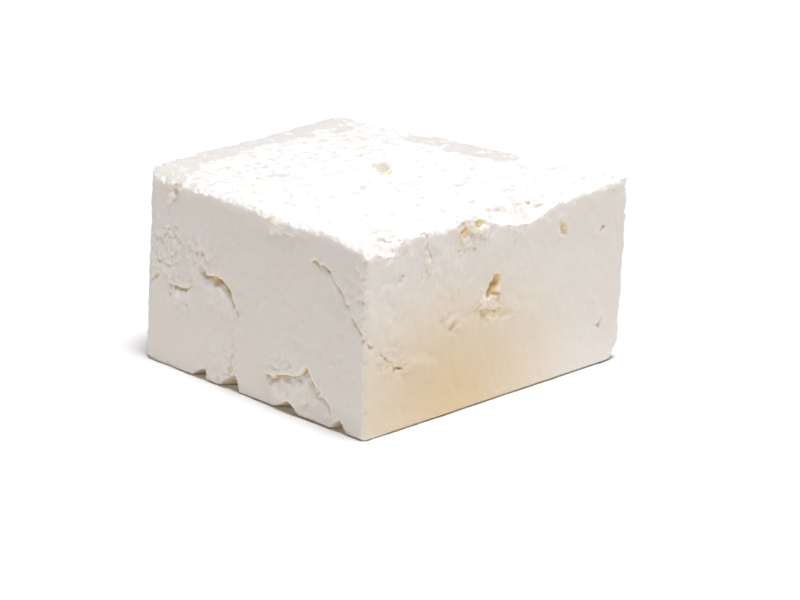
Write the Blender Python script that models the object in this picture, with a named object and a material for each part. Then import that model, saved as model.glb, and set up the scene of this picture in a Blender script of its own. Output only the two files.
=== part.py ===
"""A hand-cut block of feta cheese from a tin, one solid standing on its cut base.

The block is a six-sided body that is nearly square to itself. Its faces wave, the edges of its
top have worn and crumbled away, curd cracks and pits are carved into it, and notches run in
under its foot. The front face looks along -Y, the left face along -X, and Z is up.
All sizes are in metres.
"""

import math
from collections import namedtuple

import bmesh
import bpy
import numpy as np
from mathutils import noise

# Driving dimensions of the block, measured from its front left foot corner
FRONT_WIDTH = 0.1280
BACK_WIDTH = 0.1102
LEFT_DEPTH = 0.1230
RIGHT_DEPTH = 0.1382
HEIGHT = 0.0708
BACK_LEFT_RISE = 0.0020

# Plan of the foot, and how far each top corner leans from the foot corner below it
FRONT_LEFT = np.array([0.0, 0.0])
FRONT_RIGHT = np.array([FRONT_WIDTH, -0.0014])
BACK_LEFT = np.array([-0.0025, 0.1230])
BACK_RIGHT = np.array([0.1070, 0.1352])
LEAN_FRONT_LEFT = np.array([0.0012, -0.0011])
LEAN_FRONT_RIGHT = np.array([0.0012, -0.0019])
LEAN_BACK_LEFT = np.array([0.0064, 0.0015])
LEAN_BACK_RIGHT = np.array([-0.0009, -0.0011])

# Rounding of the edges, and of the four upright corners as seen from above
EDGE_RADIUS = 0.0013
FOOT_EDGE_RADIUS = 0.0018
FOOT_EDGE_REACH = 0.0050
CORNER_RADII = {
    (0, 0): 0.0020,
    (1, 0): 0.0022,
    (0, 1): 0.0088,
    (1, 1): 0.0120,
}

# Grid that the relief is carved on, and what is left of it
GRID_STEP = 0.0015
CUT_BAND = 0.0016
EDGE_BAND = 0.0040
TRIANGLES = 11200
FOOT_FLATNESS = 0.00008

# The narrowest slit, as half its width, that the solid's triangles can still follow
NARROWEST_SLIT = 0.0011

# Waves and lumps of the faces, and crumbling of the edges
WAVE_SIZE, WAVE_HEIGHT = 0.040, 0.0006
LUMP_SIZE, LUMP_HEIGHT = 0.011, 0.00035
CRUMB_SIZE, CRUMB_DEPTH, CRUMB_REACH = 0.0040, 0.0012, 0.0034
RAGGED_SIZE, RAGGED_SHIFT = 0.0035, 0.0009
BREAK_SIZE, BREAK_HEIGHT = 0.0040, 0.0012
FALL_WANDER_SIZE, FALL_WANDER = 0.0035, 0.0011
TEAR_SIZE, TEAR_DEPTH, TEAR_REACH = 0.0042, 0.0012, 0.0040
FALL_STEEPNESS = 12
UPRIGHT_CRUMBS = 0.3
FOOT_CRUMBS, FOOT_CRUMB_REACH = 0.5, 0.0060

# How far in under the block the curd gives way at a notch
NOTCH_GIVE = 0.022

FETA_COLOUR = (0.922, 0.871, 0.815, 1.0)
FETA_ROUGHNESS = 0.55

# A cut is a slit that follows its route. Each route point ends in its openness, from 0 to 1,
# which scales the slit there. Width is half the slit's. On the right hand of the route, as
# seen from outside, the surface rolls into the slit over the lip's width, by its drop.
# A cut of negative depth is a raised lump. A torn cut has a ragged of 1, a straight one of 0.
Cut = namedtuple("Cut", "route width depth lip drop ragged", defaults=(0.0, 0.0, 1.0))

# A scoop is what a ball takes out of the block where it sinks in to its depth at a place,
# with the ball's middle outside, in the direction that it faces.
Scoop = namedtuple("Scoop", "place facing radius depth")

# A notch under the foot runs from its shallow end to its steep end. Height and depth are the
# most that it reaches, close to its steep end.
Notch = namedtuple("Notch", "start end height depth")

RIGHT_TOP = (0.7, 0.0, 0.7)
RIGHT_CORNER_FOOT = (0.7, -0.5, -0.5)
BACK_TOP = (0.0, 0.7, 0.7)


def block_point(across, along, up):
    """The point of the flat-faced block at these shares of its width, depth and height."""
    across, along, up = (np.asarray(share, float)[..., None] for share in (across, along, up))
    plan = (
        (FRONT_LEFT + LEAN_FRONT_LEFT * up) * (1 - across) * (1 - along)
        + (FRONT_RIGHT + LEAN_FRONT_RIGHT * up) * across * (1 - along)
        + (BACK_LEFT + LEAN_BACK_LEFT * up) * (1 - across) * along
        + (BACK_RIGHT + LEAN_BACK_RIGHT * up) * across * along
    )
    return np.concatenate([plan, (HEIGHT + BACK_LEFT_RISE * (1 - across) * along) * up], axis=-1)


def left(y, z, opening=1.0):
    """A route point on the left face, y back from the front left corner and z up."""
    up = z / (HEIGHT + BACK_LEFT_RISE * y / LEFT_DEPTH)
    forward = LEAN_FRONT_LEFT[1] * up
    depth = BACK_LEFT[1] + LEAN_BACK_LEFT[1] * up - forward
    return (*block_point(0.0, (y - forward) / depth, up), opening)


def front(x, z, opening=1.0):
    """A route point on the front face, x from the front left corner and z up."""
    up = z / HEIGHT
    return (*block_point((x - LEAN_FRONT_LEFT[0] * up) / FRONT_WIDTH, 0.0, up), opening)


def right(s, z, opening=1.0):
    """A route point on the right face, s from its front corner and z up."""
    return (*block_point(1.0, s / RIGHT_DEPTH, z / HEIGHT), opening)


def back(s, z, opening=1.0):
    """A route point on the back face, s from its left corner and z up."""
    return (*block_point(s / BACK_WIDTH, 1.0, z / HEIGHT), opening)


def top(x, y, opening=1.0):
    """A route point on the top face, x from the left and y from the front."""
    return (x, y, HEIGHT, opening)


def worn(x, y, z, opening=1.0):
    """A route point on the worn part of the top, which lies at z there."""
    return (x, y, z, opening)


def left_face_cracks():
    """Curd cracks of the left face, from the back edge to the front corner."""
    side_crack = [
        left(0.1185, 0.0305, 0.7),
        left(0.1165, 0.0318, 0.9),
        left(0.1140, 0.0338, 0.6),
    ]
    short_crack = [
        left(0.1075, 0.0325, 0.4),
        left(0.1050, 0.0314, 1.0),
        left(0.1015, 0.0312, 0.9),
        left(0.0975, 0.0322, 0.6),
        left(0.0940, 0.0335, 0.2),
    ]
    arch = [
        left(0.0890, 0.0420, 0.4),
        left(0.0868, 0.0395, 0.6),
        left(0.0835, 0.0392, 0.8),
        left(0.0795, 0.0392, 0.9),
        left(0.0755, 0.0387, 1.0),
        left(0.0725, 0.0365, 0.8),
        left(0.0705, 0.0335, 0.5),
        left(0.0690, 0.0312, 0.2),
        left(0.0675, 0.0292, 0.2),
    ]
    seam = [
        left(0.0700, 0.0240, 0.2),
        left(0.0700, 0.0182, 0.3),
        left(0.0708, 0.0120, 0.6),
        left(0.0715, 0.0060, 1.0),
    ]
    long_crack = [
        left(0.0272, 0.0592, 0.5),
        left(0.0236, 0.0588, 0.8),
        left(0.0186, 0.0570, 1.0),
        left(0.0159, 0.0550, 0.4),
        left(0.0132, 0.0525, 0.8),
        left(0.0100, 0.0500, 0.8),
        left(0.0085, 0.0470, 0.3),
        left(0.0060, 0.0440, 0.5),
        left(0.0025, 0.0402, 0.5),
        front(0.0004, 0.0392, 0.7),
        front(0.0018, 0.0390, 0.3),
    ]
    ledge = [
        left(0.0515, 0.0116, 0.3),
        left(0.0474, 0.0108, 1.0),
        left(0.0443, 0.0129, 0.5),
        left(0.0407, 0.0137, 0.6),
        left(0.0354, 0.0150, 0.3),
        left(0.0322, 0.0172, 0.7),
        left(0.0300, 0.0192, 1.0),
        left(0.0280, 0.0167, 0.7),
        left(0.0256, 0.0143, 0.8),
        left(0.0229, 0.0124, 0.8),
        left(0.0190, 0.0095, 0.4),
        left(0.0170, 0.0060, 0.4),
    ]
    hook = [
        left(0.1085, 0.0522, 0.5),
        left(0.1050, 0.0512, 0.9),
        left(0.1020, 0.0482, 0.9),
    ]
    top_slot = [
        left(0.1058, 0.0700, 1.0),
        left(0.1060, 0.0665, 1.0),
        left(0.1052, 0.0642, 0.7),
        left(0.1078, 0.0622, 0.3),
    ]
    return [
        Cut(side_crack, 0.0014, 0.0009, 0.0036, 0.0005),
        Cut(short_crack, 0.0010, 0.0014, 0.0042, 0.0009),
        Cut(arch, 0.0015, 0.0031, 0.0062, 0.0013),
        Cut([left(0.1020, 0.0280), left(0.0960, 0.0290)], 0.0040, -0.0007),
        Cut([left(0.0850, 0.0350), left(0.0750, 0.0315)], 0.0048, -0.0008),
        Cut(seam, 0.0015, 0.0006, 0.0036, 0.0008),
        Cut(long_crack, 0.0009, 0.0012, 0.0032, 0.0006),
        Cut(ledge, 0.0010, 0.0017, 0.0060, 0.0013, 0.6),
        Cut([left(0.0460, 0.0070), left(0.0350, 0.0085)], 0.0055, -0.0007),
        Cut(hook, 0.0012, 0.0003),
        Cut(top_slot, 0.0014, 0.0011),
        Cut([left(0.1080, 0.0645), left(0.1088, 0.0628)], 0.0018, -0.0007),
        Cut([left(0.0520, 0.0676, 0.6), left(0.0465, 0.0694)], 0.0020, 0.0007),
        Cut([left(0.0500, 0.0668), left(0.0430, 0.0686), left(0.0380, 0.0684)], 0.0030, -0.0009),
    ]


def left_face_pits():
    """Small pits of the left face, most of them above the cracks at its back."""
    places = [
        (0.0968, 0.0485, 0.8),
        (0.0923, 0.0467, 1.0),
        (0.0894, 0.0472, 0.8),
        (0.1135, 0.0392, 1.0),
        (0.1080, 0.0382, 1.0),
        (0.1060, 0.0384, 0.6),
        (0.1183, 0.0350, 1.0),
        (0.1063, 0.0276, 1.0),
        (0.0705, 0.0195, 0.7),
        (0.0290, 0.0060, 0.8),
    ]
    return [Cut([left(*place)], 0.0012, 0.0006) for place in places]


def front_face_cracks():
    """The corner crack, curd holes and knife groove of the front face."""
    corner_crack = [
        left(0.0012, 0.0368, 0.6),
        front(0.0010, 0.0358, 0.9),
        front(0.0029, 0.0346, 0.9),
        front(0.0050, 0.0332, 0.2),
        front(0.0071, 0.0317, 0.8),
        front(0.0088, 0.0300, 0.2),
        front(0.0100, 0.0288, 0.9),
        front(0.0130, 0.0265, 0.6),
        front(0.0162, 0.0238, 1.0),
        front(0.0190, 0.0246, 0.7),
    ]
    curd_hole = [
        front(0.0586, 0.0406, 0.5),
        front(0.0600, 0.0427, 1.0),
        front(0.0616, 0.0448, 1.0),
        front(0.0624, 0.0468, 0.6),
    ]
    hole_leg = [
        front(0.0634, 0.0372, 0.4),
        front(0.0628, 0.0398, 0.9),
        front(0.0608, 0.0415, 0.8),
    ]
    upper_hole = [
        front(0.0956, 0.0562, 0.7),
        front(0.0948, 0.0585, 1.0),
        front(0.0938, 0.0608, 0.6),
    ]
    furrow = [
        front(0.0500, 0.0364, 0.4),
        front(0.0545, 0.0345, 1.0),
        front(0.0579, 0.0340, 0.7),
        front(0.0620, 0.0332, 0.9),
        front(0.0665, 0.0324, 0.7),
        front(0.0710, 0.0316, 0.2),
    ]
    groove_line = [
        front(0.0306, 0.0604, 0.7),
        front(0.0298, 0.0627, 1.0),
        front(0.0288, 0.0650, 0.9),
        front(0.0286, 0.0694, 0.4),
    ]
    groove_step = [
        front(0.0306, 0.0604, 0.66),
        front(0.0298, 0.0627, 0.5),
        front(0.0288, 0.0650, 0.3),
        front(0.0287, 0.0676, 0.1),
    ]
    slant_pit = [
        front(0.0146, 0.0559, 0.3),
        front(0.0163, 0.0562, 0.9),
        front(0.0173, 0.0577, 0.5),
    ]
    low_pit = [
        front(0.0395, 0.0329, 0.7),
        front(0.0417, 0.0337, 0.9),
        front(0.0440, 0.0343, 0.3),
    ]
    side_line = [
        front(0.1134, 0.0300, 0.6),
        front(0.1149, 0.0200, 1.0),
        front(0.1154, 0.0116, 0.7),
    ]
    return [
        Cut(corner_crack, 0.0008, 0.0011, 0.0022, 0.0004),
        Cut(curd_hole, 0.0025, 0.0024, 0.0042, 0.0008),
        Cut([front(0.0619, 0.0487, 0.8)], 0.0011, 0.0007),
        Cut(hole_leg, 0.0013, 0.0016),
        Cut(upper_hole, 0.0020, 0.0012, 0.0030, 0.0005),
        Cut([front(0.0950, 0.0558, 0.6), front(0.0922, 0.0528, 0.4)], 0.0009, 0.0009),
        Cut(groove_line, 0.0007, 0.0009, ragged=0.3),
        Cut(groove_step, 0.0007, 0.0, 0.0080, 0.0009, 0.3),
        Cut([front(0.0290, 0.0595), front(0.0296, 0.0572)], 0.0016, -0.0006),
        Cut(side_line, 0.0022, -0.0003, ragged=0.3),
        Cut(slant_pit, 0.0013, 0.0008),
        Cut(low_pit, 0.0018, 0.0006),
        Cut([front(0.0355, 0.0365, 0.8), front(0.0370, 0.0360, 0.5)], 0.0018, 0.0004),
        Cut(furrow, 0.0026, 0.0006),
        Cut([front(0.1147, 0.0529), front(0.1163, 0.0538, 0.6)], 0.0014, 0.0010),
        Cut([front(0.1147, 0.0522, 0.5), front(0.1145, 0.0508, 0.3)], 0.0009, 0.0006),
        Cut([front(0.1161, 0.0157), front(0.1166, 0.0175, 0.6)], 0.0014, 0.0012),
        Cut([front(0.0566, 0.0388)], 0.0026, -0.0009),
        Cut([front(0.0210, 0.0240), front(0.0300, 0.0205)], 0.0050, -0.0005),
    ]


def top_edge_nest():
    """The ragged nest at the front edge of the top: small holes between lumps of curd."""
    left_hole = [
        front(0.0447, 0.0664, 0.7),
        front(0.0466, 0.0668),
        front(0.0482, 0.0664, 0.7),
    ]
    arched_crumb = [
        front(0.0549, 0.0664),
        front(0.0570, 0.0656),
        front(0.0572, 0.0634),
    ]
    return [
        Cut(left_hole, 0.0019, 0.0006),
        Cut([front(0.0522, 0.0686, 0.8), front(0.0541, 0.0682)], 0.0018, 0.0005),
        Cut([front(0.0443, 0.0646, 0.8), front(0.0447, 0.0628)], 0.0010, 0.0005),
        Cut([front(0.0446, 0.0606), front(0.0441, 0.0595, 0.5)], 0.0007, 0.0005),
        Cut([front(0.0507, 0.0632, 0.7), front(0.0510, 0.0598)], 0.0009, 0.0006),
        Cut([front(0.0489, 0.0700)], 0.0015, -0.0005),
        Cut([front(0.0494, 0.0681), front(0.0516, 0.0668)], 0.0016, -0.0007),
        Cut(arched_crumb, 0.0018, -0.0008),
        Cut([front(0.0477, 0.0639), front(0.0469, 0.0620)], 0.0019, -0.0006),
    ]


def top_face_cracks():
    """The open pit with its raised curd, and small pits of the top."""
    return [
        Cut([top(0.0645, 0.0601, 0.8), top(0.0662, 0.0619)], 0.0036, 0.0036),
        Cut([top(0.0684, 0.0663), top(0.0703, 0.0645)], 0.0028, -0.0031),
        Cut([top(0.0700, 0.0599), top(0.0729, 0.0580, 0.5)], 0.0010, 0.0010),
        Cut([top(0.0270, 0.0836, 0.7), top(0.0298, 0.0812)], 0.0022, 0.0022),
    ]


def top_flakes():
    """Steps that flakes have left where they lifted off the top, all of them facing forward."""
    corner_steps = [
        [
            worn(0.0138, 0.0117, 0.0708, 0.5),
            worn(0.0152, 0.0101, 0.0708),
            worn(0.0166, 0.0089, 0.0708, 0.4),
        ],
        [
            worn(0.0186, 0.0087, 0.0708, 0.4),
            worn(0.0206, 0.0074, 0.0708, 0.8),
        ],
        [
            worn(0.0162, 0.0040, 0.0707, 0.5),
            worn(0.0172, 0.0020, 0.0706, 0.8),
            worn(0.0170, 0.0000, 0.0703, 0.6),
        ],
        [
            worn(0.0126, 0.0045, 0.0700, 0.3),
            worn(0.0141, 0.0024, 0.0695, 0.4),
        ],
    ]
    dip_steps = [
        [
            worn(0.0612, 0.0064, 0.0704, 0.5),
            worn(0.0654, 0.0059, 0.0695),
            worn(0.0692, 0.0060, 0.0690, 0.7),
        ],
        [
            worn(0.0699, 0.0058, 0.0689, 0.9),
            worn(0.0724, 0.0046, 0.0678, 0.6),
        ],
        [
            worn(0.0770, 0.0058, 0.0682, 0.6),
            worn(0.0798, 0.0054, 0.0685, 0.7),
            worn(0.0842, 0.0040, 0.0686, 0.4),
        ],
        [
            worn(0.0752, 0.0036, 0.0668, 0.6),
            worn(0.0792, 0.0035, 0.0671, 0.9),
        ],
        [
            worn(0.0858, 0.0017, 0.0677, 0.7),
            worn(0.0887, 0.0000, 0.0678, 0.7),
        ],
    ]
    return [Cut(step, 0.0008, 0.0003, 0.0032, 0.0010) for step in corner_steps + dip_steps]


def right_face_cracks():
    """Cracks and pits of the right face, like those of the left."""
    branch = [
        right(0.0260, 0.0180, 0.3),
        right(0.0340, 0.0225, 0.9),
        right(0.0420, 0.0240, 1.0),
        right(0.0500, 0.0290, 0.6),
        right(0.0560, 0.0375, 0.8),
        right(0.0600, 0.0430, 0.3),
    ]
    fall = [
        right(0.0880, 0.0620, 0.4),
        right(0.0940, 0.0575, 1.0),
        right(0.0990, 0.0500, 0.8),
        right(0.1010, 0.0410, 0.5),
        right(0.1080, 0.0340, 0.3),
    ]
    holes = [(0.0750, 0.0290), (0.0250, 0.0520), (0.1180, 0.0200), (0.0690, 0.0330, 0.6)]
    return [
        Cut(branch, 0.0010, 0.0036, 0.0040, 0.0012),
        Cut(fall, 0.0009, 0.0032, 0.0034, 0.0010),
    ] + [Cut([right(*hole)], 0.0014, 0.0020) for hole in holes]


def back_face_cracks():
    """Cracks and pits of the back face."""
    stair = [
        back(0.0490, 0.0200, 0.3),
        back(0.0430, 0.0255, 0.8),
        back(0.0350, 0.0290, 0.6),
        back(0.0310, 0.0370, 1.0),
        back(0.0250, 0.0425, 0.9),
        back(0.0180, 0.0440, 0.4),
    ]
    rift = [
        back(0.0900, 0.0470, 0.5),
        back(0.0840, 0.0510, 1.0),
        back(0.0760, 0.0530, 0.8),
        back(0.0700, 0.0580, 0.3),
    ]
    holes = [(0.0600, 0.0360), (0.0880, 0.0220), (0.0130, 0.0230), (0.0560, 0.0410, 0.6)]
    return [
        Cut(stair, 0.0011, 0.0038, 0.0042, 0.0013),
        Cut(rift, 0.0009, 0.0030, 0.0030, 0.0009),
    ] + [Cut([back(*hole)], 0.0014, 0.0022) for hole in holes]


def all_cuts():
    """Every cut of the block, with its route made smooth."""
    cuts = (
        left_face_cracks()
        + left_face_pits()
        + front_face_cracks()
        + top_edge_nest()
        + top_face_cracks()
        + top_flakes()
        + right_face_cracks()
        + back_face_cracks()
    )
    return [cut._replace(route=smooth_route(np.array(cut.route))) for cut in cuts]


def all_scoops():
    """What has crumbled off the corners and edges."""
    return [
        Scoop(front(FRONT_WIDTH, 0.0), RIGHT_CORNER_FOOT, 0.0120, 0.0056),
        Scoop(right(0.0950, HEIGHT), RIGHT_TOP, 0.0090, 0.0036),
        Scoop(back(0.0480, HEIGHT), BACK_TOP, 0.0080, 0.0034),
    ]


def foot_notches():
    """The notches along the foot, those of the left face first."""
    return [
        Notch(left(0.0945, 0.0), left(0.0832, 0.0), 0.0044, 0.0070),
        Notch(left(0.0790, 0.0), left(0.0660, 0.0), 0.0060, 0.0075),
        Notch(left(0.0490, 0.0), left(0.0348, 0.0), 0.0046, 0.0070),
        Notch(left(0.0190, 0.0), left(0.0105, 0.0), 0.0048, 0.0065),
        Notch(right(0.0560, 0.0), right(0.0445, 0.0), 0.0052, 0.0090),
        Notch(right(0.0940, 0.0), right(0.1020, 0.0), 0.0040, 0.0080),
        Notch(back(0.0270, 0.0), back(0.0370, 0.0), 0.0052, 0.0090),
        Notch(back(0.0850, 0.0), back(0.0745, 0.0), 0.0044, 0.0080),
    ]


# How each edge of the top falls off: places along the edge, its drop there, and how far in
# from the edge the fall begins. All in millimetres.
FRONT_FALL = [
    (0, 3.2, 9), (3, 3.4, 8), (5.5, 1.8, 6), (8, 4.0, 7), (10.5, 5.4, 8), (13, 4.2, 7),
    (16, 0.8, 5), (20, -0.4, 5), (24, -0.2, 5), (28, -0.6, 5), (35, 0.6, 6), (42, -0.4, 5),
    (47, -1.6, 6), (52, -0.9, 5), (56, 0.6, 7), (59, 2.0, 9), (63, 4.3, 11), (68, 5.8, 13),
    (73, 6.8, 14), (77.5, 7.1, 14), (81, 6.5, 13), (85, 4.8, 11), (89, 2.8, 10), (94, 2.0, 10),
    (102, 1.6, 10), (108, 0.9, 10), (115, 0.4, 9), (120, 0.0, 8), (128, -1.0, 8),
]
LEFT_FALL = [
    (0, 3.2, 9), (10, 3.0, 9), (14, 1.6, 9), (19, 0.0, 9), (26, 0.9, 10), (33, 1.8, 11),
    (41, 1.7, 11), (46, 2.3, 11), (53, 2.5, 11), (56, 1.2, 11), (65, 1.1, 12), (80, 1.9, 12),
    (100, 2.6, 12), (112, 3.0, 12), (123, 3.2, 12),
]
RIGHT_FALL = [
    (0, -0.8, 6), (12, 0.2, 6), (20, 0.8, 6), (40, 2.0, 8), (60, 1.0, 8), (85, 2.8, 9),
    (95, 3.6, 10), (110, 1.6, 10), (138, 2.0, 12),
]
BACK_FALL = [(0, 0.9, 5), (15, 0.5, 9), (40, 0.7, 12), (55, 1.4, 11), (80, 0.8, 12), (110, 1.2, 12)]


def smooth_route(route, steps=5):
    """A Catmull-Rom curve through the route's points."""
    if len(route) < 3:
        return route
    ends = np.vstack([2 * route[0] - route[1], route, 2 * route[-1] - route[-2]])
    curve = []
    for before, start, end, after in zip(ends, ends[1:], ends[2:], ends[3:]):
        for t in np.arange(steps) / steps:
            curve.append(
                0.5
                * (
                    2 * start
                    + (end - before) * t
                    + (2 * before - 5 * start + 4 * end - after) * t**2
                    + (3 * start - before - 3 * end + after) * t**3
                )
            )
    return np.array([*curve, route[-1]])


def smooth_step(values, low, high):
    t = np.clip((values - low) / (high - low), 0.0, 1.0)
    return t * t * (3 - 2 * t)


def noise_field(points, size, seed):
    """Smooth noise from about -1 to 1, with lumps of this size."""
    places = points / size + np.array([17.3, -9.1, 4.7]) * seed
    return np.array([noise.noise(place) for place in places.tolist()])


def noise_shift(points, size, seeds):
    """A noise vector at each point, with one seed for each direction."""
    return np.stack([noise_field(points, size, seed) for seed in seeds], axis=1)


def points_near(route, points, reach):
    """The indices of the points in the route's box, grown by this reach."""
    low = route[:, :3].min(axis=0) - reach
    high = route[:, :3].max(axis=0) + reach
    return np.flatnonzero(np.all((points > low) & (points < high), axis=1))


def nearest_on_route(route, points, normals):
    """Distance to the route, its openness there, and whether the point is on its right hand."""
    distance = np.full(len(points), np.inf)
    opening = np.zeros(len(points))
    on_right = np.zeros(len(points), bool)
    if len(route) == 1:
        return np.linalg.norm(points - route[0, :3], axis=1), opening + route[0, 3], on_right
    for start, end in zip(route, route[1:]):
        line = end[:3] - start[:3]
        share = np.clip((points - start[:3]) @ line / (line @ line), 0.0, 1.0)
        off = points - start[:3] - share[:, None] * line
        reach = np.linalg.norm(off, axis=1)
        nearer = reach < distance
        distance[nearer] = reach[nearer]
        opening[nearer] = (start[3] + share * (end[3] - start[3]))[nearer]
        turn = np.einsum("ij,ij->i", np.cross(line, off), normals)
        on_right[nearer] = turn[nearer] < 0
    return distance, opening, on_right


def carve(cut, points, normals, shift):
    """How deep the slit and its rolled lip go at each point, as one depth."""
    depth = np.zeros(len(points))
    width = max(cut.width, NARROWEST_SLIT)
    close = points_near(cut.route, points, max(width, cut.lip) * 1.5)
    if not len(close):
        return depth
    shifted = points[close] + cut.ragged * shift[close]
    distance, opening, on_right = nearest_on_route(cut.route, shifted, normals[close])
    slit = np.clip(1 - (distance / (width * (0.35 + 0.65 * opening))) ** 2, 0.0, 1.0)
    depth[close] = cut.depth * opening * slit
    if cut.lip:
        roll = np.clip(1 - distance / cut.lip, 0.0, 1.0) ** 2
        overhang = -0.35 * np.clip(1 - distance / (0.6 * cut.lip), 0.0, 1.0) ** 2
        openness = np.minimum(opening * 1.5, 1.0)
        depth[close] += cut.drop * openness * np.where(on_right, roll, overhang)
    return depth


def block_grid():
    """A closed grid of quads over a unit cube, its steps about GRID_STEP in every direction."""
    grid = bmesh.new()
    bmesh.ops.create_cube(grid, size=1.0)
    for axis, length in enumerate((FRONT_WIDTH, RIGHT_DEPTH, HEIGHT)):
        along_axis = [
            edge
            for edge in grid.edges
            if abs((edge.verts[0].co - edge.verts[1].co)[axis]) > 0.5
        ]
        bmesh.ops.subdivide_edges(
            grid, edges=along_axis, cuts=round(length / GRID_STEP) - 1, use_grid_fill=True
        )
    return grid


def rounded_points(shares):
    """The grid's points on the block, with its edges rounded and rounder at the foot."""
    size = np.array([FRONT_WIDTH, RIGHT_DEPTH, HEIGHT])
    points = shares * size
    near_foot = np.exp(-points[:, 2] / FOOT_EDGE_REACH)
    radius = (EDGE_RADIUS + (FOOT_EDGE_RADIUS - EDGE_RADIUS) * near_foot)[:, None]
    core = np.clip(points, radius, size - radius)
    outward = points - core
    outward /= np.linalg.norm(outward, axis=1, keepdims=True)
    rounded = core + radius * outward
    for (right_side, back_side), corner_radius in CORNER_RADII.items():
        corner = size[:2] * (right_side, back_side)
        inward = np.where(corner > 0, -1.0, 1.0)
        gap = (rounded[:, :2] - corner) * inward
        reach = np.clip(1 - gap / corner_radius, 0.0, 1.0)
        squeezed = reach * np.sqrt(1 - reach[:, ::-1] ** 2 / 2)
        both = np.all(reach > 0, axis=1)
        rounded[both, :2] = (corner + inward * corner_radius * (1 - squeezed))[both]
    return block_point(*(rounded / size).T)


def sagged_points(points):
    """The points with the edges of the top worn down, most of all where the curd broke off."""
    across, along, up = shares_of(points).T
    from_edges = [
        (FRONT_FALL, across * FRONT_WIDTH, along * RIGHT_DEPTH),
        (LEFT_FALL, along * LEFT_DEPTH, across * FRONT_WIDTH),
        (RIGHT_FALL, along * RIGHT_DEPTH, (1 - across) * FRONT_WIDTH),
        (BACK_FALL, across * BACK_WIDTH, (1 - along) * RIGHT_DEPTH),
    ]
    wander = FALL_WANDER * noise_field(points, FALL_WANDER_SIZE, 31)
    tears = TEAR_DEPTH * np.clip(noise_field(points, TEAR_SIZE, 32) + 0.15, 0.0, 1.0)
    sag = np.zeros(len(points))
    rise = np.zeros(len(points))
    for fall, place, inward in from_edges:
        stops, drops, reaches = np.array(fall).T / 1000
        start = np.interp(place + wander, stops, reaches)
        slope = np.clip(1 - np.maximum(inward + wander, 0.0) / start, 0.0, 1.0) ** 2
        drop = np.interp(place + wander, stops, drops) * slope
        drop += tears * np.clip(1 - inward / TEAR_REACH, 0.0, 1.0)
        sag = np.maximum(sag, drop)
        rise = np.minimum(rise, drop)
    points[:, 2] -= (sag + rise) * up**FALL_STEEPNESS
    return points


def notch_shape(notch, points):
    """The notch's inward direction, the points' distance in, and how far it presses them in."""
    start, end = np.array(notch.start[:2]), np.array(notch.end[:2])
    length = np.linalg.norm(end - start)
    along = (end - start) / length
    inward = np.array([-along[1], along[0]])
    inward *= np.sign((BACK_RIGHT / 2 - start) @ inward)
    share = (points[:, :2] - start) @ along / length
    ramp = smooth_step(share, 0.0, 0.72) * (1 - smooth_step(share, 0.80, 1.0))
    arch = np.clip(1 - (points[:, 2] / np.maximum(notch.height * ramp, 1e-6)) ** 2, 0.0, 1.0)
    distance = (points[:, :2] - start) @ inward
    return inward, distance, notch.depth * ramp * np.sqrt(arch)


def notched_points(points):
    """The points with the foot pressed in under the block at each notch."""
    shifted = points + RAGGED_SHIFT * noise_shift(points, RAGGED_SIZE, (4, 5, 6))
    shifted[:, 2] = np.where(points[:, 2] > 0, shifted[:, 2], 0.0)
    for notch in foot_notches():
        inward, distance, depth = notch_shape(notch, shifted)
        press = depth * np.clip(1 - distance / NOTCH_GIVE, 0.0, 1.0)
        points[:, :2] += press[:, None] * inward
    return points


def scooped_points(points):
    """The points with those inside a scoop's ball pushed out onto its broken surface."""
    broken = BREAK_HEIGHT * noise_field(points, BREAK_SIZE, 21)
    for scoop in all_scoops():
        facing = np.array(scoop.facing) / np.linalg.norm(scoop.facing)
        middle = np.array(scoop.place[:3]) + facing * (scoop.radius - scoop.depth)
        off = points - middle
        reach = np.linalg.norm(off, axis=1)
        radius = scoop.radius + broken
        inside = np.flatnonzero(reach < radius)
        points[inside] = middle + off[inside] * (radius / reach)[inside, None]
    points[:, 2] = np.maximum(points[:, 2], 0.0)
    return points


def shares_of(points):
    """Roughly where each point of the block lies, as shares of its width, depth and height."""
    along = points[:, 1] / (LEFT_DEPTH + (RIGHT_DEPTH - LEFT_DEPTH) * points[:, 0] / FRONT_WIDTH)
    width = FRONT_WIDTH + (BACK_WIDTH - FRONT_WIDTH) * along
    across = (points[:, 0] - BACK_LEFT[0] * along) / width
    up = points[:, 2] / (HEIGHT + BACK_LEFT_RISE * (1 - across) * along)
    across -= LEAN_BACK_LEFT[0] * along * up / width
    return np.clip(np.stack([across, along, up], axis=1), 0.0, 1.0)


def edge_distance(shares):
    """How far each grid point is from the nearest edge of the block."""
    size = np.array([FRONT_WIDTH, RIGHT_DEPTH, HEIGHT])
    from_faces = np.minimum(shares, 1 - shares) * size
    return np.sort(from_faces, axis=1)[:, 1]


def relief(points, normals):
    """How far each point moves outwards: waves and lumps, less crumbs, cracks and pits."""
    from_edge = edge_distance(shares_of(points))
    free = smooth_step(normals[:, 2], -0.8, -0.3)
    height = WAVE_HEIGHT * noise_field(points, WAVE_SIZE, 1)
    height += LUMP_HEIGHT * noise_field(points, LUMP_SIZE, 2)
    crumbs = np.clip(noise_field(points, CRUMB_SIZE, 3) + 0.1, 0.0, 1.0)
    at_top = smooth_step(points[:, 2], 0.8 * HEIGHT, HEIGHT)
    at_foot = 1 - smooth_step(points[:, 2], 0.0, FOOT_CRUMB_REACH)
    crumbs *= UPRIGHT_CRUMBS + (1 - UPRIGHT_CRUMBS) * at_top + FOOT_CRUMBS * at_foot
    height -= CRUMB_DEPTH * crumbs * (1 - smooth_step(from_edge, 0.0, CRUMB_REACH))
    height *= free
    shift = RAGGED_SHIFT * noise_shift(points, RAGGED_SIZE, (4, 5, 6))
    for cut in all_cuts():
        height -= carve(cut, points, normals, shift)
    return height


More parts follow.
